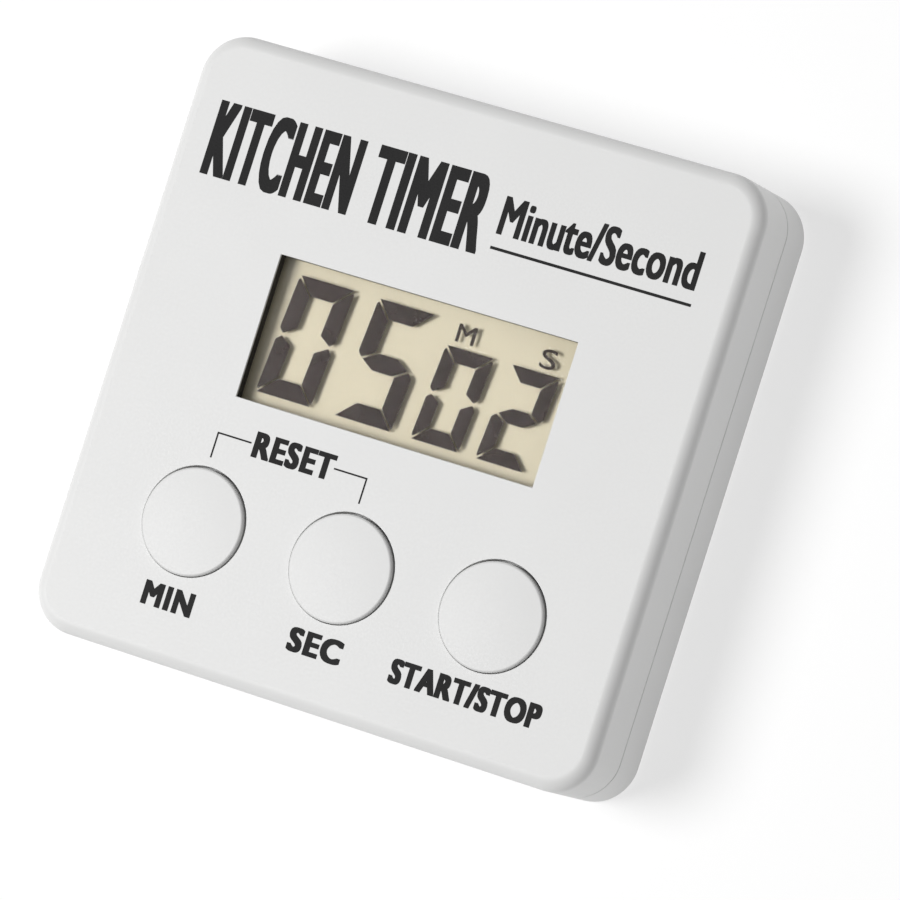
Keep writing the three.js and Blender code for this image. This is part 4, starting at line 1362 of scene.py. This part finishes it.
@dataclass
class FacePrint:
    """The dark print on the face: title, legends, underline and the bracket over two buttons."""

    wardrobe: Wardrobe
    line: float = 0.17
    rule: float = 0.3
    film: float = 0.02
    words: tuple[Lettering, ...] = (
        Lettering("print_title_1", "KITCHEN", -27.85, 16.7, -11.1, 24.6, 0.27, 0.16, spacing=1.16),
        Lettering("print_title_2", "TIMER", -9.6, 16.7, 3.5, 24.6, 0.27, 0.16, spacing=1.1),
        Lettering("print_subtitle", "Minute/Second", 4.95, 19.2, 26.7, 23.2, 0.13, 0.08, spacing=1.04),
        Lettering("print_reset", "RESET", -13.0, -9.0, -3.9, -6.3, 0.18, 0.1, spacing=1.16),
        Lettering("print_min", "MIN", -19.7, -26.2, -14.0, -23.75, 0.17, 0.09, spacing=1.16),
        Lettering("print_sec", "SEC", -3.1, -26.2, 2.9, -23.7, 0.19, 0.1, spacing=1.16),
        Lettering("print_start_stop", "START/STOP", 8.3, -26.15, 24.9, -23.6, 0.18, 0.1, spacing=1.14),
    )
    underline: tuple[float, float, float] = (4.85, 26.85, 17.8)
    bracket_top: float = -7.65
    bracket_foot: float = -10.25
    bracket_left: tuple[float, float] = (-17.1, -13.4)
    bracket_right: tuple[float, float] = (-3.85, -0.25)

    def build(self) -> None:
        """Models all of the print and lays it on the face."""
        height = Extent.of("front_case").high.z
        pieces = [word.build(height) for word in self.words]
        left, right, y = self.underline
        pieces.append(add_block("print_underline", (left, y - self.rule / 2, height),
                                (right, y + self.rule / 2, height + self.film)))
        pieces.append(self.bracket("print_bracket_left", self.bracket_left, self.bracket_left[0], height))
        pieces.append(self.bracket("print_bracket_right", self.bracket_right, self.bracket_right[1], height))
        for piece in pieces:
            hand_over(piece, "case", "black_plastic", self.wardrobe.get(PRINT_INK))

    def bracket(self, name: str, across: tuple[float, float], leg_x: float,
                height: float) -> bpy.types.Object:
        """One half of the bracket: a line across and a leg down to its button.

        Args:
            name: The piece's name.
            across: Where the level line starts and ends.
            leg_x: Where the leg stands.
            height: The face's height.

        Returns:
            The piece.
        """
        half = self.line / 2
        top = height + self.film
        arm = add_block(name, (across[0] - half, self.bracket_top - half, height),
                        (across[1] + half, self.bracket_top + half, top))
        leg = add_block("leg", (leg_x - half, self.bracket_foot, height),
                        (leg_x + half, self.bracket_top, top))
        combine(arm, [leg], "UNION")
        return arm


# ---------------------------------------------------------------------------------------------
# Back: cover, stand, magnet, screws
# ---------------------------------------------------------------------------------------------

@dataclass
class BatteryCover:
    """The round battery cover with its coin slot, neck ring and two lugs."""

    wardrobe: Wardrobe
    disc_thickness: float = 1.4
    rim: float = 0.3
    neck_radius: float = 7.6
    neck_wall: float = 1.1
    lug_out: float = 0.85
    lug_width: float = 3.2
    lug_thickness: float = 0.6
    lug_short: float = 0.1
    slot: tuple[float, float, float] = (9, 1.6, 0.8)

    def build(self) -> None:
        """Models the cover and hands it over."""
        box = Extent.of("battery_cover")
        x, y = box.centre.xy
        inner = box.low.z + self.disc_thickness
        cover = add_disc("battery_lid", box.size.y / 2, box.low.z, inner, x, y, 128)
        round_edges(cover, at_height(box.low.z), self.rim, 6)
        step_face(cover, facing_up(inner), box.size.y / 2 - self.neck_radius, box.high.z - inner)
        step_face(cover, facing_up(box.high.z), self.neck_wall, inner - box.high.z)
        reach = self.neck_radius + self.lug_out - self.lug_short
        inside = self.neck_radius - self.neck_wall / 2
        half = self.lug_width / 2
        low = box.high.z - self.lug_thickness
        lugs = [add_block("lug", (x + start, y - half, low), (x + end, y + half, box.high.z))
                for start, end in ((-reach, -inside), (inside, reach))]
        combine(cover, lugs, "UNION")
        length, width, depth = self.slot
        coin = add_block("coin", (x - length / 2, y - width / 2, -1),
                         (x + length / 2, y + width / 2, box.low.z + depth))
        round_edges(coin, upright, width * 0.49, 8)
        combine(cover, [coin], "DIFFERENCE")
        soften(cover, 0.07)
        smooth(cover)
        hand_over(cover, "battery_cover", "white_plastic", self.wardrobe.get(WHITE_PLASTIC),
                  "battery_cover")


@dataclass
class Stand:
    """The fold-out leg with its hinge barrel, pins and grip grooves."""

    wardrobe: Wardrobe
    half_width: float = 11
    thickness: float = 2
    sunk: float = 0.25
    corner: float = 2.5
    barrel: float = 1.3
    pin: float = 0.8
    hinge_up: float = 1.55
    edge: float = 0.25
    grooves: int = 3
    groove_pitch: float = 1.8
    groove_width: float = 0.8
    groove_depth: float = 0.3

    def build(self) -> None:
        """Models the leg and hands it over."""
        box = Extent.of("stand_leg")
        axis = box.high.y - self.barrel
        leg = add_block("stand", (-self.half_width, box.low.y, self.sunk),
                        (self.half_width, axis, self.sunk + self.thickness))
        round_edges(leg, lambda a, b: upright(a, b) and a.y < box.low.y + NEAR, self.corner, 10)
        soften(leg, self.edge, 4)
        for radius, x0, x1 in ((self.barrel, -self.half_width, self.half_width),
                               (self.pin, box.low.x, box.high.x)):
            combine(leg, [add_rod("rod", radius, x0, x1, axis, self.hinge_up)], "UNION")
        combine(leg, self.groove_cutters(box.low.y), "DIFFERENCE")
        soften(leg, 0.05)
        smooth(leg)
        hand_over(leg, "stand", "white_plastic", self.wardrobe.get(WHITE_PLASTIC), "stand_leg")

    def groove_cutters(self, end: float) -> list[bpy.types.Object]:
        """Round-bottomed cutters for the grip grooves near the free end."""
        half = self.half_width / 2
        radius = (self.groove_width ** 2 / 4 + self.groove_depth ** 2) / (2 * self.groove_depth)
        return [add_rod("groove", radius, -half, half, end + self.groove_pitch * (i + 1),
                        self.sunk + self.groove_depth - radius, 32) for i in range(self.grooves)]


@dataclass
class Magnet:
    """The sintered bar magnet, with its ground edges."""

    wardrobe: Wardrobe
    corner: float = 0.5
    chamfer: float = 0.3

    def build(self) -> None:
        """Models the magnet and hands it over."""
        box = Extent.of("magnet_bar")
        bar = add_block("magnet", box.low, box.high)
        round_edges(bar, upright, self.corner, 3)
        round_edges(bar, at_height(box.low.z), self.chamfer, 1)
        soften(bar, 0.05, 2, 30)
        smooth(bar, 30)
        hand_over(bar, "case", "ferrite", self.wardrobe.get(OTHER_FINISHES["ferrite"]), "magnet_bar")


@dataclass
class CaseScrews:
    """Four cross-head screws in the back, modelled once and copied."""

    wardrobe: Wardrobe
    head_height: float = 1.2
    shank: float = 0.85
    cross: float = 0.45
    cross_reach: float = 1.05
    cross_depth: float = 0.72
    head_edge: float = 0.35
    tip: float = 1.7
    tip_share: float = 0.35

    def build(self) -> None:
        """Models one screw, copies it to the four posts and hands them over."""
        boxes = {i: Extent.of(f"case_screw_{i}") for i in range(1, 5)}
        first = self.model(boxes[1])
        for i, box in boxes.items():
            screw = first.copy()
            screw.data = first.data.copy()
            screw.name = screw.data.name = f"back_screw_{i}"
            bpy.context.collection.objects.link(screw)
            screw.data.transform(Matrix.Translation(box.centre - boxes[1].centre))
            hand_over(screw, "case", "steel", self.wardrobe.get(OTHER_FINISHES["steel"]), f"case_screw_{i}")
        bpy.data.objects.remove(first)

    def model(self, box: Extent) -> bpy.types.Object:
        """Models a screw that fills a box, its head downwards."""
        x, y = box.centre.xy
        seat = box.low.z + self.head_height
        radius = box.size.x / 2
        screw = add_disc("screw", radius, box.low.z, seat, x, y, 48)
        step_face(screw, facing_up(seat), radius - self.shank, box.high.z - self.tip - seat)
        step_face(screw, facing_up(box.high.z - self.tip), 0.01, self.tip)
        with editing(screw):
            pick_faces(screw, facing_up(box.high.z))
            bpy.ops.transform.resize(value=(self.tip_share, self.tip_share, 1),
                                     center_override=(x, y, box.high.z))
        round_edges(screw, at_height(box.low.z), self.head_edge, 6)
        half, reach = self.cross / 2, self.cross_reach
        top = box.low.z + self.cross_depth
        for a, b in ((reach, half), (half, reach)):
            combine(screw, [add_block("bar", (x - a, y - b, -1), (x + a, y + b, top))], "DIFFERENCE")
        soften(screw, 0.04)
        smooth(screw)
        return screw


# ---------------------------------------------------------------------------------------------
# Studio
# ---------------------------------------------------------------------------------------------

@dataclass
class Studio:
    """White floor, soft light from the upper left, and the camera."""

    lens: float = 242.0
    aim: Point = (7.304, -2.505, 13.5)
    distance: float = 595.43
    tilt: float = 22.334
    azimuth: float = -3.291
    roll: float = 17.365
    floor_size: float = 6.0
    sky: float = 0.26
    key: float = 13.8
    key_direction: Point = (-0.5, -0.14, 0.86)
    key_distance: float = 1.3
    key_width: float = 0.66
    floor_white: float = 0.42
    floor_glow: float = 0.61

    def build(self) -> None:
        """Sets the camera, the floor and the lights."""
        self.set_camera()
        self.set_floor()
        self.set_lights()

    def set_camera(self) -> None:
        """Places the camera by its aim, distance, tilt from the face's normal and roll."""
        bpy.ops.object.camera_add()
        camera = bpy.context.object
        camera.name = "camera"
        camera.data.lens = self.lens
        camera.data.sensor_width = 36
        camera.data.clip_end = 100
        swing = Matrix.Rotation(math.radians(self.azimuth), 4, "Z")
        turn = (swing @ Matrix.Rotation(math.radians(self.tilt), 4, "Y") @ swing.inverted()
                @ Matrix.Rotation(math.radians(self.roll), 4, "Z"))
        away = turn @ Vector((0, 0, self.distance * MM))
        camera.matrix_world = Matrix.Translation(Vector(self.aim) * MM + away) @ turn
        bpy.context.scene.camera = camera

    def set_floor(self) -> None:
        """Lays the white floor just under the timer."""
        bpy.ops.object.select_all(action="DESELECT")
        bpy.ops.mesh.primitive_plane_add(size=self.floor_size, location=(0, 0, -0.01 * MM))
        floor = named("floor")
        white = Finish("floor_white", (self.floor_white,) * 3, 0.9, grain=2, depth=0.001, drift=0.002,
                       specular=0.1)
        material = white.build()
        shader = material.node_tree.nodes["Principled BSDF"]
        shader.inputs["Emission Color"].default_value = (1, 1, 1, 1)
        shader.inputs["Emission Strength"].default_value = self.floor_glow
        floor.data.materials.append(material)

    def set_lights(self) -> None:
        """Adds the soft key light and an even white sky."""
        bpy.ops.object.light_add(type="AREA")
        key = bpy.context.object
        key.name = "key"
        key.data.shape = "DISK"
        key.data.size = self.key_width
        key.data.energy = self.key
        direction = Vector(self.key_direction).normalized()
        key.location = direction * self.key_distance
        key.rotation_euler = direction.to_track_quat("Z", "Y").to_euler()
        world = bpy.data.worlds.new("studio")
        bpy.context.scene.world = world
        world.use_nodes = True
        tree = world.node_tree
        sky = tree.nodes["Background"]
        sky.inputs["Color"].default_value = (1, 1, 1, 1)
        path = tree.nodes.new("ShaderNodeLightPath")
        strength = tree.nodes.new("ShaderNodeMapRange")
        strength.inputs["To Min"].default_value = self.sky
        tree.links.new(path.outputs["Is Camera Ray"], strength.inputs["Value"])
        tree.links.new(strength.outputs["Result"], sky.inputs["Strength"])
        bpy.context.scene.view_settings.view_transform = "Standard"


def main() -> None:
    """Builds the timer round its frame, sub-assembly by sub-assembly."""
    logging.basicConfig(level=logging.INFO, format="%(name)s %(message)s")
    wardrobe = Wardrobe()
    Studio().build()
    wardrobe.dress_nodes()
    case = Case(wardrobe)
    case.build_front()
    case.build_rear()
    for which in Button:
        PushButton(which, wardrobe).build()
        RubberDome(which, wardrobe).build()
    Display(wardrobe).build()
    FacePrint(wardrobe).build()
    BatteryCover(wardrobe).build()
    Stand(wardrobe).build()
    Magnet(wardrobe).build()
    CaseScrews(wardrobe).build()


if __name__ == "__main__":
    main()
